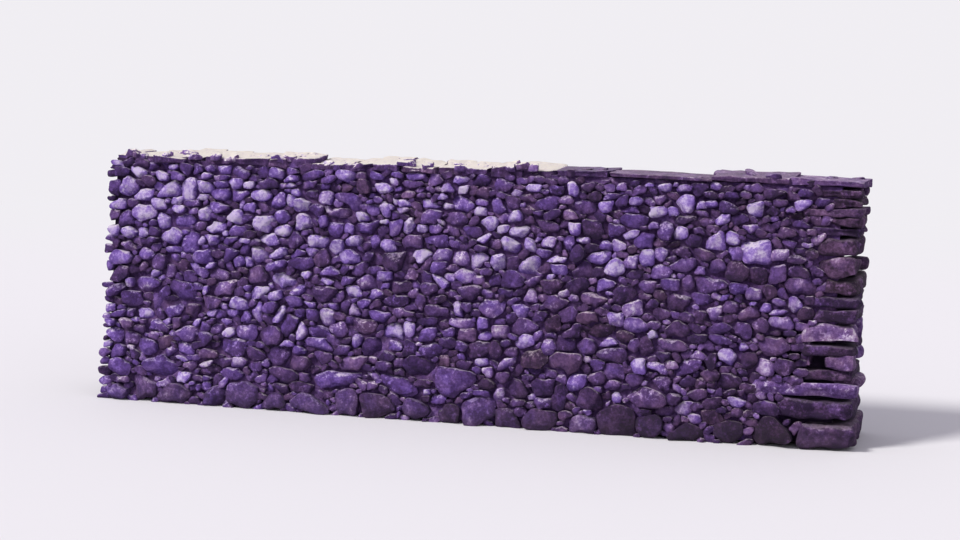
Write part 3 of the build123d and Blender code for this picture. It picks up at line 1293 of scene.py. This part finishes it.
DULL_STONES = (
    (190, 615, 150, 88, 0), (1080, 440, 110, 98, 0), (1270, 285, 150, 105, 0), (1180, 210, 220, 90, 8),
    (1450, 310, 170, 105, 0), (2589, 235, 120, 105, 0), (2749, 250, 110, 98, 0), (2854, 500, 90, 98, 0),
    (3578, 680, 140, 105, 0), (3183, 800, 90, 105, 0), (4108, 450, 130, 88, 0), (3808, 350, 150, 78, 0),
    (3818, 965, 100, 92, 0), (3928, 955, 90, 98, 0), (4163, 990, 130, 68, 0), (2364, 440, 100, 88, 0),
    (3988, 670, 130, 60, 8), (3608, 575, 110, 52, 0), (3903, 465, 95, 90, 0), (4008, 215, 130, 85, 0),
    (3253, 920, 140, 60, 8), (3508, 1055, 100, 65, 0), (3993, 850, 70, 80, 0), (3503, 1232, 190, 38, 0),
    (3998, 1395, 190, 40, 0), (3748, 1420, 170, 36, 0))


# Patches where the stones are paler or duller: place along the wall and up the face as parts of its
# length and height, radius in metres, and the change of paleness.
TONE_PATCHES = (
    (0.43, 0.55, 0.26, -0.14), (0.55, 0.67, 0.28, 0.12), (0.17, 0.78, 0.28, 0.06), (0.17, 0.12, 0.28, 0.08),
    (0.43, 0.15, 0.26, -0.12), (0.66, 0.82, 0.20, -0.16), (0.65, 0.38, 0.30, -0.08),
    (0.03, 0.40, 0.22, -0.06), (0.31, 0.40, 0.26, 0.10), (0.80, 0.12, 0.34, -0.10),
    (0.58, 0.10, 0.30, -0.04), (0.22, 0.90, 0.36, 0.06), (0.50, 0.92, 0.34, 0.10), (0.75, 0.75, 0.28, 0.07),
    (0.56, 0.26, 0.16, 0.08), (0.09, 0.95, 0.26, 0.14), (0.15, 0.48, 0.30, 0.12), (0.40, 0.92, 0.26, 0.12),
    (0.44, 0.74, 0.20, 0.12), (0.83, 0.90, 0.30, -0.14))


@dataclass(frozen=True)
class ToneMix:
    """How pale and how warm the stones are by where they lie: the left end is paler, most of all low
    down, the foot of the built end is browner, more of the stones high up are pale, and the stones just
    under the covers are duller, as a painted shadow of the covers."""

    pale_share: float = 0.08
    pale_share_up: float = 0.13
    pale_share_left: float = 0.09
    middle_share: float = 0.32
    middle: float = 0.42
    dark: float = 0.225
    paler_left: float = 0.25
    # Painted shadow: how much duller the stones are just under the covers' overhang.
    painted_shadow_under_covers: float = 0.05
    patches: tuple[tuple[float, float, float, float], ...] = TONE_PATCHES

    def of_place(self, along: float, height: float) -> float:
        """How much paler a stone is for its place.

        Args:
            along: Distance from the wall's left end as a part of its length.
            height: Height above the footing as a part of the face's height.

        Returns:
            The change of paleness.
        """
        change = self.paler_left * (0.60 - along) * (1.0 - 0.30 * height)
        # Painted shadow under the covers: the top of the face is made duller.
        change -= self.painted_shadow_under_covers * float(smooth_rise(np.array(height), 0.93, 0.99))
        for patch_along, patch_height, radius, paler in self.patches:
            aside = (along - patch_along) * WALL.length
            distance = math.hypot(aside, (height - patch_height) * WALL.face_rise)
            change += paler * math.exp(-(distance / radius) ** 2)
        return change

    def looks(self, along: float, up: float, random_source: random.Random) -> Looks:
        """The looks of a stone that is laid at random.

        Args:
            along: Distance from the wall's left end as a part of its length.
            up: Height in metres.
            random_source: Source of the random looks.

        Returns:
            The stone's looks.
        """
        height = min(max((up - WALL.footing_top) / WALL.face_rise, 0.0), 1.0)
        high_up = float(smooth_rise(np.array(height), 0.5, 0.8))
        pale_share = self.pale_share + self.pale_share_up * high_up + self.pale_share_left * (1.0 - along)
        pick = random_source.random()
        if pick < pale_share:
            paleness = random_source.uniform(0.60, 0.96 - 0.10 * along)
        elif pick < pale_share + self.middle_share:
            paleness = random_source.gauss(self.middle, 0.06)
        else:
            paleness = random_source.gauss(self.dark, 0.055)
        paleness += self.of_place(along, height)
        low_end = along * (1.0 - 0.6 * height)
        broad_wave = 0.10 * math.sin(11.0 * along + 3.0 * height)
        short_wave = 0.08 * math.sin(23.0 * along - 7.0 * height + 1.0)
        warmth = random_source.gauss(0.13 + 0.34 * low_end + (broad_wave + short_wave), 0.26)
        if paleness > 0.6:
            warmth *= 0.45
        grain = random_source.uniform(0.0, 50.0)
        return Looks(min(max(paleness, 0.08), 0.90), min(max(warmth, 0.0), 1.0), grain)


TONES = ToneMix()


@dataclass
class LongFace:
    """The stones of one long face: large footings, rough courses above them, and the through stones' ends."""

    side: Side
    mason: Mason
    through: Heap
    bays: int = 6
    tries: int = 9000
    tuck: float = 0.014
    course_low: float = 0.104
    course_high: float = 0.068
    marked_wider: float = 1.14
    upright_share: float = 0.08
    longer: float = 0.055
    lower: float = 0.075
    follow: float = 0.8
    level: float = -0.008
    random_source: random.Random = field(init=False)
    region: Region = field(init=False)
    packing: Packing = field(init=False)
    packed: PackedFace = field(init=False)
    bay_ends: list[float] = field(init=False)

    def __post_init__(self) -> None:
        """Finds the face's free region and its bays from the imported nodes."""
        self.random_source = random.Random(f"{self.side.name} face")
        quoins = [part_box(name) for name in node_names("cheek_course_")]
        right = max(float(high[0]) for _, high in quoins)
        taken = [(float(low[0]) + self.tuck, right + 0.2, float(low[2]) - 0.002, float(high[2]) + 0.002)
                 for low, high in quoins]
        taken.append((cad_corner("low", 0, "footing_cheek"), right + 0.2, -0.01, WALL.footing_top))
        self.region = Region(RUNNING_END, right, 0.0, WALL.cover_bed, taken)
        self.packing = Packing(self.region)
        self.packed = PackedFace(self.side)
        self.bay_ends = sorted(float(box.middle[0]) for box in solids_of("through_stones"))

    def setting(self, across: float, up: float) -> Setting:
        """Where a stone of this face sits.

        Args:
            across: Its place along the wall.
            up: Its height.

        Returns:
            The point of the face and its directions.
        """
        sign = self.side.value
        length = math.hypot(1.0, WALL.batter)
        origin = np.array((across, sign * WALL.half_width(up), up))
        upwards = np.array((0.0, -sign * WALL.batter, 1.0)) / length
        inward = np.array((0.0, -sign, -WALL.batter)) / length
        return Setting(origin, np.array((1.0, 0.0, 0.0)), upwards, inward)

    def bonding_stones(self) -> list[Seed]:
        """The footings and the through stones' ends, at the places of their solids.

        Returns:
            The stones.
        """
        seeds = []
        source = self.random_source
        for box in solids_of(f"footing_{self.side.name.lower()}"):
            height = WALL.footing_top * source.uniform(0.66, 1.26)
            along = float(box.middle[0]) / WALL.length + 0.5
            looks = TONES.looks(along, 0.1, source)
            looks.warmth = max(looks.warmth, source.uniform(0.10, 0.40) + 0.30 * along)
            looks.paleness = min(looks.paleness + 0.06, source.uniform(0.34, 0.56)) + 0.20 * (0.50 - along)
            seeds.append(Seed(float(box.middle[0]), height / 2.0, float(box.half[0]), height / 2.0,
                              source.gauss(0.0, 4.0), looks, True, source.uniform(0.0, 0.026), Kind.FOOTING))
        for box in solids_of("through_stones"):
            looks = Looks(source.gauss(0.36, 0.05), source.gauss(0.5, 0.15), source.uniform(0.0, 50.0))
            across, _, up = box.middle.tolist()
            half_width, _, half_height = box.half.tolist()
            seeds.append(Seed(across, up, half_width, half_height, source.gauss(0.0, 2.5), looks, True,
                              source.uniform(0.0, 0.012), Kind.THROUGH))
        return seeds

    def marked_stones(self) -> list[Seed]:
        """The stones that were picked out on the front face.

        Returns:
            The stones.
        """
        groups = ((Tone.BRIGHT, BRIGHT_STONES, 0.008), (Tone.PALE, PALE_STONES, 0.004),
                  (Tone.MIDDLE, MIDDLE_STONES, 0.004), (Tone.DULL, DULL_STONES, 0.0))
        length = 1000.0 * WALL.length
        rise = 1000.0 * WALL.cover_bed
        source = self.random_source
        seeds = []
        for tone, stones, proud in groups:
            for along, up, width, height, lean in stones:
                warmth = source.gauss(0.14 + 0.30 * along / length, 0.16)
                warmth = warmth * 0.4 if tone is Tone.BRIGHT else warmth
                paleness = tone.value + source.uniform(-0.05, 0.04)
                paleness = min(paleness + 0.8 * TONES.of_place(along / length, up / rise), 0.92)
                looks = Looks(paleness, min(max(warmth, 0.0), 1.0), source.uniform(0.0, 50.0))
                seeds.append(Seed(self.region.left + along / 1000.0, up / 1000.0,
                                  self.marked_wider * width / 2000.0, height / 2000.0, lean, looks, True,
                                  proud))
        return seeds

    def courses(self) -> list[tuple[float, float, float]]:
        """Divides the face above its footings into rough courses, lower ones towards the top.

        Returns:
            Middle, height and wave of each course.
        """
        courses = []
        foot = WALL.footing_top
        while foot < WALL.cover_bed:
            part = (foot - WALL.footing_top) / (WALL.cover_bed - WALL.footing_top)
            height = self.course_low + (self.course_high - self.course_low) * part
            height *= self.random_source.uniform(0.88, 1.12)
            courses.append((foot + height / 2.0, height, self.random_source.uniform(0.0, 6.3)))
            foot += height
        return courses

    def course_stone(self, courses: list[tuple[float, float, float]], late: float) -> Seed:
        """One stone that may be laid in the courses.

        Args:
            courses: Middle, height and wave of each course.
            late: How far the laying has come, from 0 to 1: later stones are smaller.

        Returns:
            The stone.
        """
        source = self.random_source
        across = source.uniform(self.region.left, self.region.right)
        middle, height, phase = source.choice(courses)
        up = middle + 0.024 * math.sin(across * 1.9 + phase) + source.gauss(0.0, 0.12) * height
        if late > 0.55:
            up = source.uniform(self.region.bottom, self.region.top)
        along = (across - self.region.left) / WALL.length
        flatter = float(smooth_rise(np.array(along), 0.68, 0.86))
        if up > WALL.cover_bed - 0.17:
            flatter = max(flatter, 0.55)
        tall = height * source.uniform(0.66, 1.14) * (0.96 - 0.50 * late ** 0.9) * (1.0 - 0.20 * flatter)
        wide = tall * source.lognormvariate(0.88 + 0.10 * flatter, 0.34)
        lean = source.gauss(3.0, 10.0 - 5.0 * flatter)
        if source.random() < self.upright_share * (1.0 - flatter):
            wide, tall = tall * 0.80, min(wide * 1.05, height * 1.4)
            lean = source.gauss(0.0, 16.0)
        looks = TONES.looks(along, up, source)
        proud = min(max(source.gauss(-0.002, 0.010), -0.026), 0.015)
        return Seed(across, up, wide / 2.0, tall / 2.0, lean, looks, False, proud)

    def lay(self) -> None:
        """Chooses the stones: bonding stones first, then those picked out, then rough courses."""
        for seed in self.bonding_stones():
            self.packing.try_seed(seed, 0.60)
        if self.side is Side.FRONT:
            for seed in self.marked_stones():
                self.packing.try_seed(seed, 0.72)
        courses = self.courses()
        tries = self.tries if self.side is Side.FRONT else self.tries * 2 // 3
        for attempt in range(tries):
            self.packing.try_seed(self.course_stone(courses, attempt / tries), 0.90)
        self.packing.settle(3)
        log.info("%s face: %d stones laid", self.side.name, len(self.packing.seeds))

    def bay_of(self, across: float) -> int:
        """The number of the bay at a place along the wall, from 0 at the running end."""
        return sum(across > end for end in self.bay_ends)

    def shape(self, bays: list[Heap], footing: Heap) -> None:
        """Shapes the laid stones.

        Args:
            bays: The heaps of the bays, from the running end.
            footing: The heap of the footings.
        """
        source = self.random_source
        turns = even_turns(Packing.TURNS)
        flat = 1.0 + self.longer * np.cos(turns) ** 2 - self.lower * np.sin(turns) ** 2
        for index, seed in enumerate(self.packing.seeds):
            dull = max(0.0, 1.0 - seed.looks.paleness / 0.5)
            tight = WALL.joint * (source.uniform(-0.45, 0.40) - 0.9 * dull)
            radii = self.packing.outlines[index]
            if seed.kind is Kind.FACE:
                radii = radii * flat
            radii = self.mason.chip(np.maximum(radii - tight, radii * 0.7), source, source.randint(3, 6))
            self.packing.outlines[index] = radii
            at_end = seed.across - seed.half_width < self.region.left + 0.03
            depth = min(WALL.stone_depth, 0.07 + 1.2 * float(radii.mean()))
            if at_end:
                depth = source.uniform(0.10, 0.21)
            heaps = {Kind.FACE: bays[self.bay_of(seed.across)], Kind.FOOTING: footing,
                     Kind.THROUGH: self.through}
            proud = seed.proud
            if seed.kind is Kind.THROUGH:
                depth = WALL.half_width(seed.up)
            if seed.kind is Kind.FACE:
                relief = self.packed.relief(seed.across, seed.up, seed.half_width, seed.half_height)
                proud += self.follow * (relief - self.level)
            self.mason.lump(heaps[seed.kind], self.setting(seed.across, seed.up), radii, seed.looks, source,
                            proud, depth, corner=at_end)

    def pin(self, bays: list[Heap]) -> None:
        """Sets small stones into the holes that are left.

        Args:
            bays: The heaps of the bays, from the running end.
        """
        source = self.random_source
        turns = even_turns(Packing.TURNS)
        smallest = 0.0125 if self.side is Side.FRONT else 0.0160
        for across, up, room in self.packing.gap_seeds(0.010, smallest, 0.030):
            pale = 0.35 if source.random() < 0.14 else 0.0
            warmth = source.uniform(0.0, 0.5) + 0.35 * (across - self.region.left) / WALL.length
            looks = Looks(source.uniform(0.15, 0.42) + pale, warmth, source.uniform(0.0, 50.0))
            wobble = 1.0 + 0.30 * np.cos(2.0 * turns + source.gauss(0.0, 0.9))
            radii = self.mason.chip(room * 1.35 * wobble, source, 4)
            self.mason.lump(bays[self.bay_of(across)], self.setting(across, up), radii, looks, source,
                            -source.uniform(0.006, 0.024), 0.07)

    def build(self) -> list[bpy.types.Object]:
        """Lays and shapes the face.

        Returns:
            One piece for each bay and one for the footings.
        """
        self.lay()
        bays = [Heap() for _ in range(self.bays)]
        footing = Heap()
        self.shape(bays, footing)
        self.pin(bays)
        side = self.side.name.lower()
        pieces = [footing.to_piece(f"footing_{side}_stones", FOOTING_FINISH, "footing_stone",
                                   (f"footing_{side}",))]
        for bay, heap in enumerate(bays, start=1):
            name = f"{side}_face_stones_{bay}"
            pieces.append(heap.to_piece(name, FACE_FINISH, "face_stone", (f"{side}_skin_bay_{bay}",)))
        return pieces


@dataclass
class BuiltEnd:
    """The cheek: long and short quoins, laid one above the other."""

    mason: Mason
    cut: Cut = Cut(rim=0.034, chips=16, chip=0.050, wedge=0.09, ragged=0.030, grain=0.0040, tilt=0.014,
                   joint=0.006)
    filler_cut: Cut = Cut(chips=12, chip=0.020, ragged=0.016, grain=0.0040)
    tones: tuple[float, ...] = (0.05, 0.46, 0.05, 0.50, 0.08, 0.10, 0.13, 0.18, 0.10, 0.16, 0.12, 0.22, 0.14,
                                0.20)
    split_course: str = "cheek_course_03"
    bed_part: float = 0.37
    lintel_height: float = 0.042
    hole_start: float = 0.05
    hole_end: float = 0.105
    side_stone: float = 0.17

    def split(self, box: Box) -> list[tuple[Box, Bend, float]]:
        """Parts a tall course as it stands in the wall: a low block, two smaller stones on it with a
        hole between them, a flat stone over the hole and a filler behind it.

        Args:
            box: The course's box.

        Returns:
            The box and the bend of each part, and how much paler it is than the course.
        """
        low, high = box.low, box.high
        bed = low[2] + self.bed_part * (high[2] - low[2])
        lintel = high[2] - self.lintel_height
        head = lintel + 0.010
        foot = low - np.array((0.0, 0.0, 0.008))
        top = high + np.array((0.0, 0.0, 0.014))
        aside = np.array((0.0, 0.15, 0.0))
        behind = np.array((0.05, 0.0, 0.0))
        filler = Box(np.array((low[0], low[1], bed - 0.02)) + aside + behind, high - aside - behind)
        # Painted shade: the filler in the hole is made duller, and since only its end is open it takes the
        # hollow colour all over.
        parts = [(Box(foot, np.array((high[0], high[1], bed))), Bend(True, True), 0.0),
                 (filler, Bend(), -0.2),
                 (Box(np.array((low[0], low[1], lintel)), top), Bend(True, True), -0.02)]
        for start, end, paler in ((low[0] - 0.02, low[0] + self.hole_start, 0.32),
                                  (low[0] + self.hole_end, high[0], 0.50)):
            front = Box(np.array((start, low[1], bed)), np.array((end, low[1] + self.side_stone, head)))
            rear = Box(np.array((start, high[1] - self.side_stone, bed)), np.array((end, high[1], head)))
            parts += [(front, Bend(True, False), paler), (rear, Bend(False, True), paler)]
        return parts

    def build(self) -> list[bpy.types.Object]:
        """Shapes each course of the cheek.

        Returns:
            One piece for each course.
        """
        pieces = []
        for tone, name in zip(self.tones, node_names("cheek_course_")):
            random_source = random.Random(name)
            heap = Heap()
            parts = []
            for box in solids_of(name):
                bend = Bend(bool(box.low[1] < -0.05), bool(box.high[1] > 0.05))
                parts += self.split(box) if name == self.split_course else [(box, bend, 0.0)]
            for box, bend, paler in parts:
                looks = Looks(tone + paler + random_source.gauss(0.0, 0.04), random_source.gauss(0.68, 0.20),
                              random_source.uniform(0.0, 50.0))
                sides = ("+x",) + (("-y",) if bend.front else ()) + (("+y",) if bend.back else ())
                cut = self.cut if bend.front or bend.back else self.filler_cut
                self.mason.slab(heap, box, looks, random_source, cut, sides, bend)
            pieces.append(heap.to_piece(f"{name}_blocks", QUOIN_FINISH, "quoin_stone", (name,)))
        return pieces


@dataclass
class CoverStones:
    """The flat stones that close the wall's top, each across its whole width. Towards the running end
    they are more broken, with loose stones bedded on them, and paler and off-white where they look up,
    from bleaching and painted sunlight."""

    mason: Mason
    cut: Cut = Cut(rim=0.026, chips=14, chip=0.036, plan_chips=7, plan_chip=0.036, wedge=0.12, ragged=0.026,
                   grain=0.0036, tilt=0.012)
    broken_cut: Cut = Cut(rim=0.024, chips=16, chip=0.040, plan_chips=8, plan_chip=0.050, wedge=0.14,
                          ragged=0.030, grain=0.0040, tilt=0.014, nod=0.055)
    broken_from: float = 0.45
    lap: float = 0.026
    thin: float = 0.009
    end_stone: str = "cover_stone_01"
    shard: float = 0.17

    def shards(self, box: Box, random_source: random.Random) -> list[Box]:
        """Breaks a cover stone across into pieces of uneven width and thickness.

        Args:
            box: The cover stone's box.
            random_source: Source of the widths.

        Returns:
            The box of each piece.
        """
        length = float(box.high[0] - box.low[0])
        count = max(2, round(length / self.shard))
        widths = [random_source.uniform(0.6, 1.4) for _ in range(count)]
        boxes = []
        start = float(box.low[0])
        for width in widths:
            end = start + length * width / sum(widths)
            head = float(box.high[2]) - random_source.uniform(0.0, 0.016)
            front = float(box.low[1]) + random_source.uniform(-0.008, 0.030)
            boxes.append(Box(np.array((start, front, box.low[2])), np.array((end, box.high[1], head))))
            start = end
        return boxes

    def loose(self, heap: Heap, box: Box, random_source: random.Random, count: int) -> None:
        """Beds small loose stones on a cover stone.

        Args:
            heap: The heap that they join.
            box: The cover stone's box.
            random_source: Source of their places and shapes.
            count: How many stones.
        """
        turns = even_turns(Packing.TURNS)
        left, front, _ = box.low.tolist()
        right, _, top = box.high.tolist()
        for number in range(count):
            part = (number + random_source.uniform(0.1, 0.9)) / count
            size = random_source.uniform(0.036, 0.062)
            across = left + size + part * (right - left - 2.0 * size)
            at_front = random_source.random() < 0.6
            aside = front + size * 1.1 if at_front else random_source.uniform(-0.08, 0.15)
            setting = Setting(np.array((across, aside, top - 0.004)), np.array((1.0, 0.0, 0.0)),
                              np.array((0.0, 1.0, 0.0)), np.array((0.0, 0.0, -1.0)))
            wobble = 1.0 + 0.22 * np.cos(2.0 * turns + random_source.uniform(0.0, 6.3))
            wobble += 0.10 * np.cos(3.0 * turns + random_source.uniform(0.0, 6.3))
            radii = self.mason.chip(size * wobble, random_source, 4)
            # Loose stones on the broken covers are paler: pale stone, and painted sunlight on the wall's top.
            pale = 0.42 if left < self.broken_from else 0.0
            looks = Looks(random_source.uniform(0.22, 0.42) + pale, random_source.uniform(0.2, 0.7),
                          random_source.uniform(0.0, 50.0))
            proud = random_source.uniform(0.002, 0.016)
            self.mason.lump(heap, setting, radii, looks, random_source, proud, 0.045)

    def build(self) -> list[bpy.types.Object]:
        """Shapes each cover stone.

        Returns:
            One piece for each stone.
        """
        pieces = []
        lap = np.array((self.lap, 0.0, 0.0))
        thin = np.array((0.0, 0.0, self.thin))
        for name in node_names("cover_stone_"):
            random_source = random.Random(name)
            heap = Heap()
            broken = cad_corner("low", 0, name) < self.broken_from
            cut = self.broken_cut if broken else self.cut
            tone = 0.30 if broken or name == self.end_stone else 0.20
            for box in solids_of(name):
                if not broken:
                    box = Box(box.low + thin, box.high - thin)
                for part in self.shards(box, random_source) if broken else [box]:
                    looks = Looks(random_source.gauss(tone, 0.05), random_source.gauss(0.45, 0.15),
                                  random_source.uniform(0.0, 50.0))
                    self.mason.slab(heap, Box(part.low - lap, part.high + lap), looks, random_source, cut,
                                    ("-y", "+y", "+z"), Bend())
                self.loose(heap, box, random_source, 4 if broken else 3)
            # The broken covers' faces that look up are made off-white: bleaching and painted sunlight.
            finish = BLEACHED_AND_PAINTED_SUN_COVER_FINISH if broken else COVER_FINISH
            pieces.append(heap.to_piece(f"{name}_slab", finish, "cover_stone", (name,)))
        return pieces


@dataclass
class CheekFooting:
    """The broad stone under the built end."""

    mason: Mason
    cut: Cut = Cut(rim=0.050, chips=16, chip=0.070, ragged=0.034, grain=0.0038)

    def build(self) -> bpy.types.Object:
        """Shapes the stone.

        Returns:
            The piece.
        """
        random_source = random.Random("cheek footing")
        heap = Heap()
        for box in solids_of("footing_cheek"):
            self.mason.slab(heap, box, Looks(0.20, 0.7, 7.0), random_source, self.cut,
                            ("-y", "+y", "+x", "+z"), Bend())
        return heap.to_piece("footing_cheek_block", FOOTING_FINISH, "footing_stone", ("footing_cheek",))


@dataclass
class Hearting:
    """The small stones packed between the faces: a rough core, and rubble that shows at the open end."""

    mason: Mason
    core_cuts: int = 21
    core_foot: float = 0.02
    core_cover: float = 0.054
    cheek_cover: float = 0.10
    hole_top: float = 0.59
    skin: float = 0.075
    tries: int = 3200

    def core(self, heap: Heap) -> None:
        """Adds the core: a cube drawn out to the wall's inner shape and roughened.

        Args:
            heap: The heap that it joins.
        """
        left = RUNNING_END + 0.03
        right = cad_corner("high", 0, "footing_cheek") - 0.16
        foot = self.core_foot
        head = WALL.cover_bed + 0.012
        deselect_all()
        bpy.ops.mesh.primitive_cube_add(size=2.0)
        bpy.ops.object.mode_set(mode="EDIT")
        bpy.ops.mesh.select_all(action="SELECT")
        bpy.ops.mesh.subdivide(number_cuts=self.core_cuts)
        bpy.ops.mesh.quads_convert_to_tris()
        bpy.ops.object.mode_set(mode="OBJECT")
        points, faces = read_and_remove(bpy.context.object)
        across, aside, up = points.T
        place = np.empty_like(points)
        place[:, 0] = (left + right) / 2.0 + across * (right - left) / 2.0
        place[:, 2] = (foot + head) / 2.0 + up * (head - foot) / 2.0
        width = WALL.base_width / 2.0 - WALL.batter * (place[:, 2] - WALL.footing_top) - self.core_cover
        low_down = 1.0 - smooth_rise(place[:, 2], self.hole_top, self.hole_top + 0.08)
        width -= self.cheek_cover * smooth_rise(place[:, 0], right - 0.26, right - 0.16) * low_down
        place[:, 1] = aside * width
        rough = self.mason.ripple(place / 0.05, random.Random("core"), 0.010, waves=5, pace=1.3)
        place[:, 1] += np.sign(aside) * rough * (np.abs(aside) > 0.99)
        # Painted shade: the core takes the hollow colour where it shows behind the rubble at the running end
        # and inside the hole of the built end.
        shelter = 1.0 - smooth_rise(place[:, 0], left + 0.02, left + 0.16)
        shelter = np.maximum(shelter, smooth_rise(place[:, 0], right - 0.34, right - 0.22) * low_down)
        heap.add(place, faces, Looks(0.36, 0.5, 3.0), shelter, np.zeros(len(place)))

    def rubble(self, heap: Heap) -> None:
        """Adds the rubble that shows between the faces at the open end.

        Args:
            heap: The heap that it joins.
        """
        random_source = random.Random("hearting")
        half = WALL.half_width(WALL.footing_top) - self.skin
        region = Region(-half, half, 0.01, WALL.cover_bed, narrowing=WALL.batter)
        packing = Packing(region)
        for attempt in range(self.tries):
            late = attempt / self.tries
            tall = random_source.uniform(0.045, 0.085) * (1.0 - 0.55 * late)
            wide = tall * random_source.uniform(0.8, 1.7)
            across = random_source.uniform(-half, half)
            up = random_source.uniform(region.bottom, region.top)
            looks = Looks(random_source.gauss(0.30, 0.10), random_source.gauss(0.5, 0.2),
                          random_source.uniform(0.0, 50.0))
            lean = random_source.gauss(0.0, 15.0)
            packing.try_seed(Seed(across, up, wide / 2.0, tall / 2.0, lean, looks), 0.92)
        packing.settle(2)
        other_way = (Packing.TURNS // 2 - np.arange(Packing.TURNS)) % Packing.TURNS
        for seed, radii in zip(packing.seeds, packing.outlines):
            origin = np.array((RUNNING_END + 0.012, seed.across, seed.up))
            setting = Setting(origin, np.array((0.0, -1.0, 0.0)), np.array((0.0, 0.0, 1.0)),
                              np.array((1.0, 0.0, 0.0)))
            self.mason.lump(heap, setting, radii[other_way] * 0.94, seed.looks, random_source,
                            random_source.uniform(-0.012, 0.004), 0.09)

    def build(self) -> bpy.types.Object:
        """Shapes the core and the rubble at the open end.

        Returns:
            The piece that holds them.
        """
        heap = Heap()
        self.core(heap)
        self.rubble(heap)
        return heap.to_piece("hearting_rubble", HEARTING_FINISH, "hearting_rubble", ("hearting",))


@dataclass(frozen=True)
class Lamp:
    """An even, far lamp that shines towards the wall's middle from a place. Its spread is how wide it
    looks from the wall, in degrees: wider is softer."""

    name: str
    place: tuple[float, float, float]
    spread: float
    power: float
    colour: tuple[float, float, float]

    def build(self) -> None:
        """Adds the lamp to the scene."""
        data = bpy.data.lights.new(self.name, "SUN")
        data.angle = math.radians(self.spread)
        data.energy = self.power
        data.color = self.colour
        lamp = bpy.data.objects.new(self.name, data)
        bpy.context.scene.collection.objects.link(lamp)
        lamp.location = self.place
        lamp.rotation_euler = (-Vector(self.place)).to_track_quat("-Z", "Y").to_euler()


@dataclass
class Studio:
    """The floor, the light and the camera."""

    camera_place: tuple[float, float, float] = (2.96, -11.33, 2.20)
    camera_yaw: float = 14.6
    camera_pitch: float = 6.5
    camera_roll: float = 1.36
    focal_pixels: float = 2000.0
    image_width: float = 960.0
    key: Lamp = Lamp("key", (-6.0, -6.5, 8.0), 14.0, 3.1, (1.0, 0.98, 0.95))
    fill: Lamp = Lamp("fill", (6.5, -8.0, 3.0), 60.0, 0.35, (0.94, 0.95, 1.0))
    floor_half: float = 90.0
    floor_lit: tuple[float, float, float, float] = (0.30, 0.29, 0.31, 1.0)
    floor_seen: tuple[float, float, float, float] = (0.72, 0.71, 0.73, 1.0)
    ambient: tuple[float, float, float, float] = (0.53, 0.51, 0.58, 1.0)
    air: tuple[float, float, float, float] = (0.875, 0.855, 0.895, 1.0)
    fade_from: float = 5.0
    fade_to: float = 15.0

    def camera(self) -> None:
        """Sets the camera at the viewing angle of the reference."""
        data = bpy.data.cameras.new("camera")
        data.sensor_width = 36.0
        data.lens = self.focal_pixels / self.image_width * data.sensor_width
        data.clip_end = 200.0
        camera = bpy.data.objects.new("camera", data)
        bpy.context.scene.collection.objects.link(camera)
        yaw = Matrix.Rotation(math.radians(self.camera_yaw), 4, "Z")
        pitch = Matrix.Rotation(math.radians(90.0 - self.camera_pitch), 4, "X")
        roll = Matrix.Rotation(math.radians(self.camera_roll), 4, "Z")
        camera.matrix_world = Matrix.Translation(self.camera_place) @ yaw @ pitch @ roll
        bpy.context.scene.camera = camera

    def seen(self, nodes: NodeTree) -> bpy.types.NodeSocket:
        """1 where the camera or a reflection looks, 0 for the light that reaches the wall."""
        path = nodes.add("ShaderNodeLightPath")
        return nodes.math("MAXIMUM", path.outputs["Is Camera Ray"], path.outputs["Is Glossy Ray"])

    def floor(self) -> None:
        """Lays a pale floor that fades into the pale air behind the wall."""
        deselect_all()
        bpy.ops.mesh.primitive_plane_add(size=2.0, location=(0.0, 0.0, 0.0))
        floor = bpy.context.object
        floor.name = "studio_floor"
        floor.data.transform(Matrix.Diagonal((self.floor_half, self.floor_half, 1.0, 1.0)))
        material = bpy.data.materials.new("studio_floor_paint")
        material.use_nodes = True
        tree = material.node_tree
        shader = tree.nodes["Principled BSDF"]
        nodes = NodeTree(tree)
        seen = self.seen(nodes)
        paint = nodes.blend(seen, self.floor_lit, self.floor_seen)
        tree.links.new(paint, shader.inputs["Base Color"])
        shader.inputs["Roughness"].default_value = 0.95
        shader.inputs["Specular IOR Level"].default_value = 0.1
        place = nodes.add("ShaderNodeTexCoord").outputs["Object"]
        distance = nodes.add("ShaderNodeVectorMath", {0: place}, operation="LENGTH").outputs["Value"]
        far = nodes.times(nodes.rise(distance, self.fade_from, self.fade_to), seen)
        glow = nodes.add("ShaderNodeEmission", {"Color": self.air, "Strength": 1.0}).outputs[0]
        faded = nodes.add("ShaderNodeMixShader", {0: far, 1: shader.outputs[0], 2: glow}).outputs[0]
        tree.links.new(faded, tree.nodes["Material Output"].inputs["Surface"])
        floor.data.materials.append(material)

    def world(self) -> None:
        """Sets an even ambient light and a pale background."""
        world = bpy.data.worlds.new("studio_air")
        bpy.context.scene.world = world
        world.use_nodes = True
        nodes = NodeTree(world.node_tree)
        background = world.node_tree.nodes["Background"]
        colour = nodes.blend(self.seen(nodes), self.ambient, self.air)
        world.node_tree.links.new(colour, background.inputs["Color"])
        background.inputs["Strength"].default_value = 1.0

    def build(self) -> None:
        """Makes the camera, lamps, floor and background."""
        self.camera()
        self.key.build()
        self.fill.build()
        self.floor()
        self.world()
        bpy.context.scene.view_settings.view_transform = "Standard"


def main() -> None:
    """Builds the wall's sub-assemblies in order and the studio around them."""
    logging.basicConfig(level=logging.INFO, format="%(message)s")
    mason = Mason(small=RockForm(4, 0.36, 0.3), medium=RockForm(6, 0.29, 0.3), large=RockForm(8, 0.25, 0.3),
                  end=RockForm(8, 0.26, 1.0), block=RockForm(13, 0.0, 1.0))
    Studio().build()
    Hearting(mason).build()
    CheekFooting(mason).build()
    through = Heap()
    LongFace(Side.FRONT, mason, through).build()
    LongFace(Side.BACK, mason, through).build()
    through.to_piece("through_stone_blocks", THROUGH_FINISH, "through_stone", ("through_stones",))
    BuiltEnd(mason).build()
    CoverStones(mason).build()


if __name__ == "__main__":
    main()
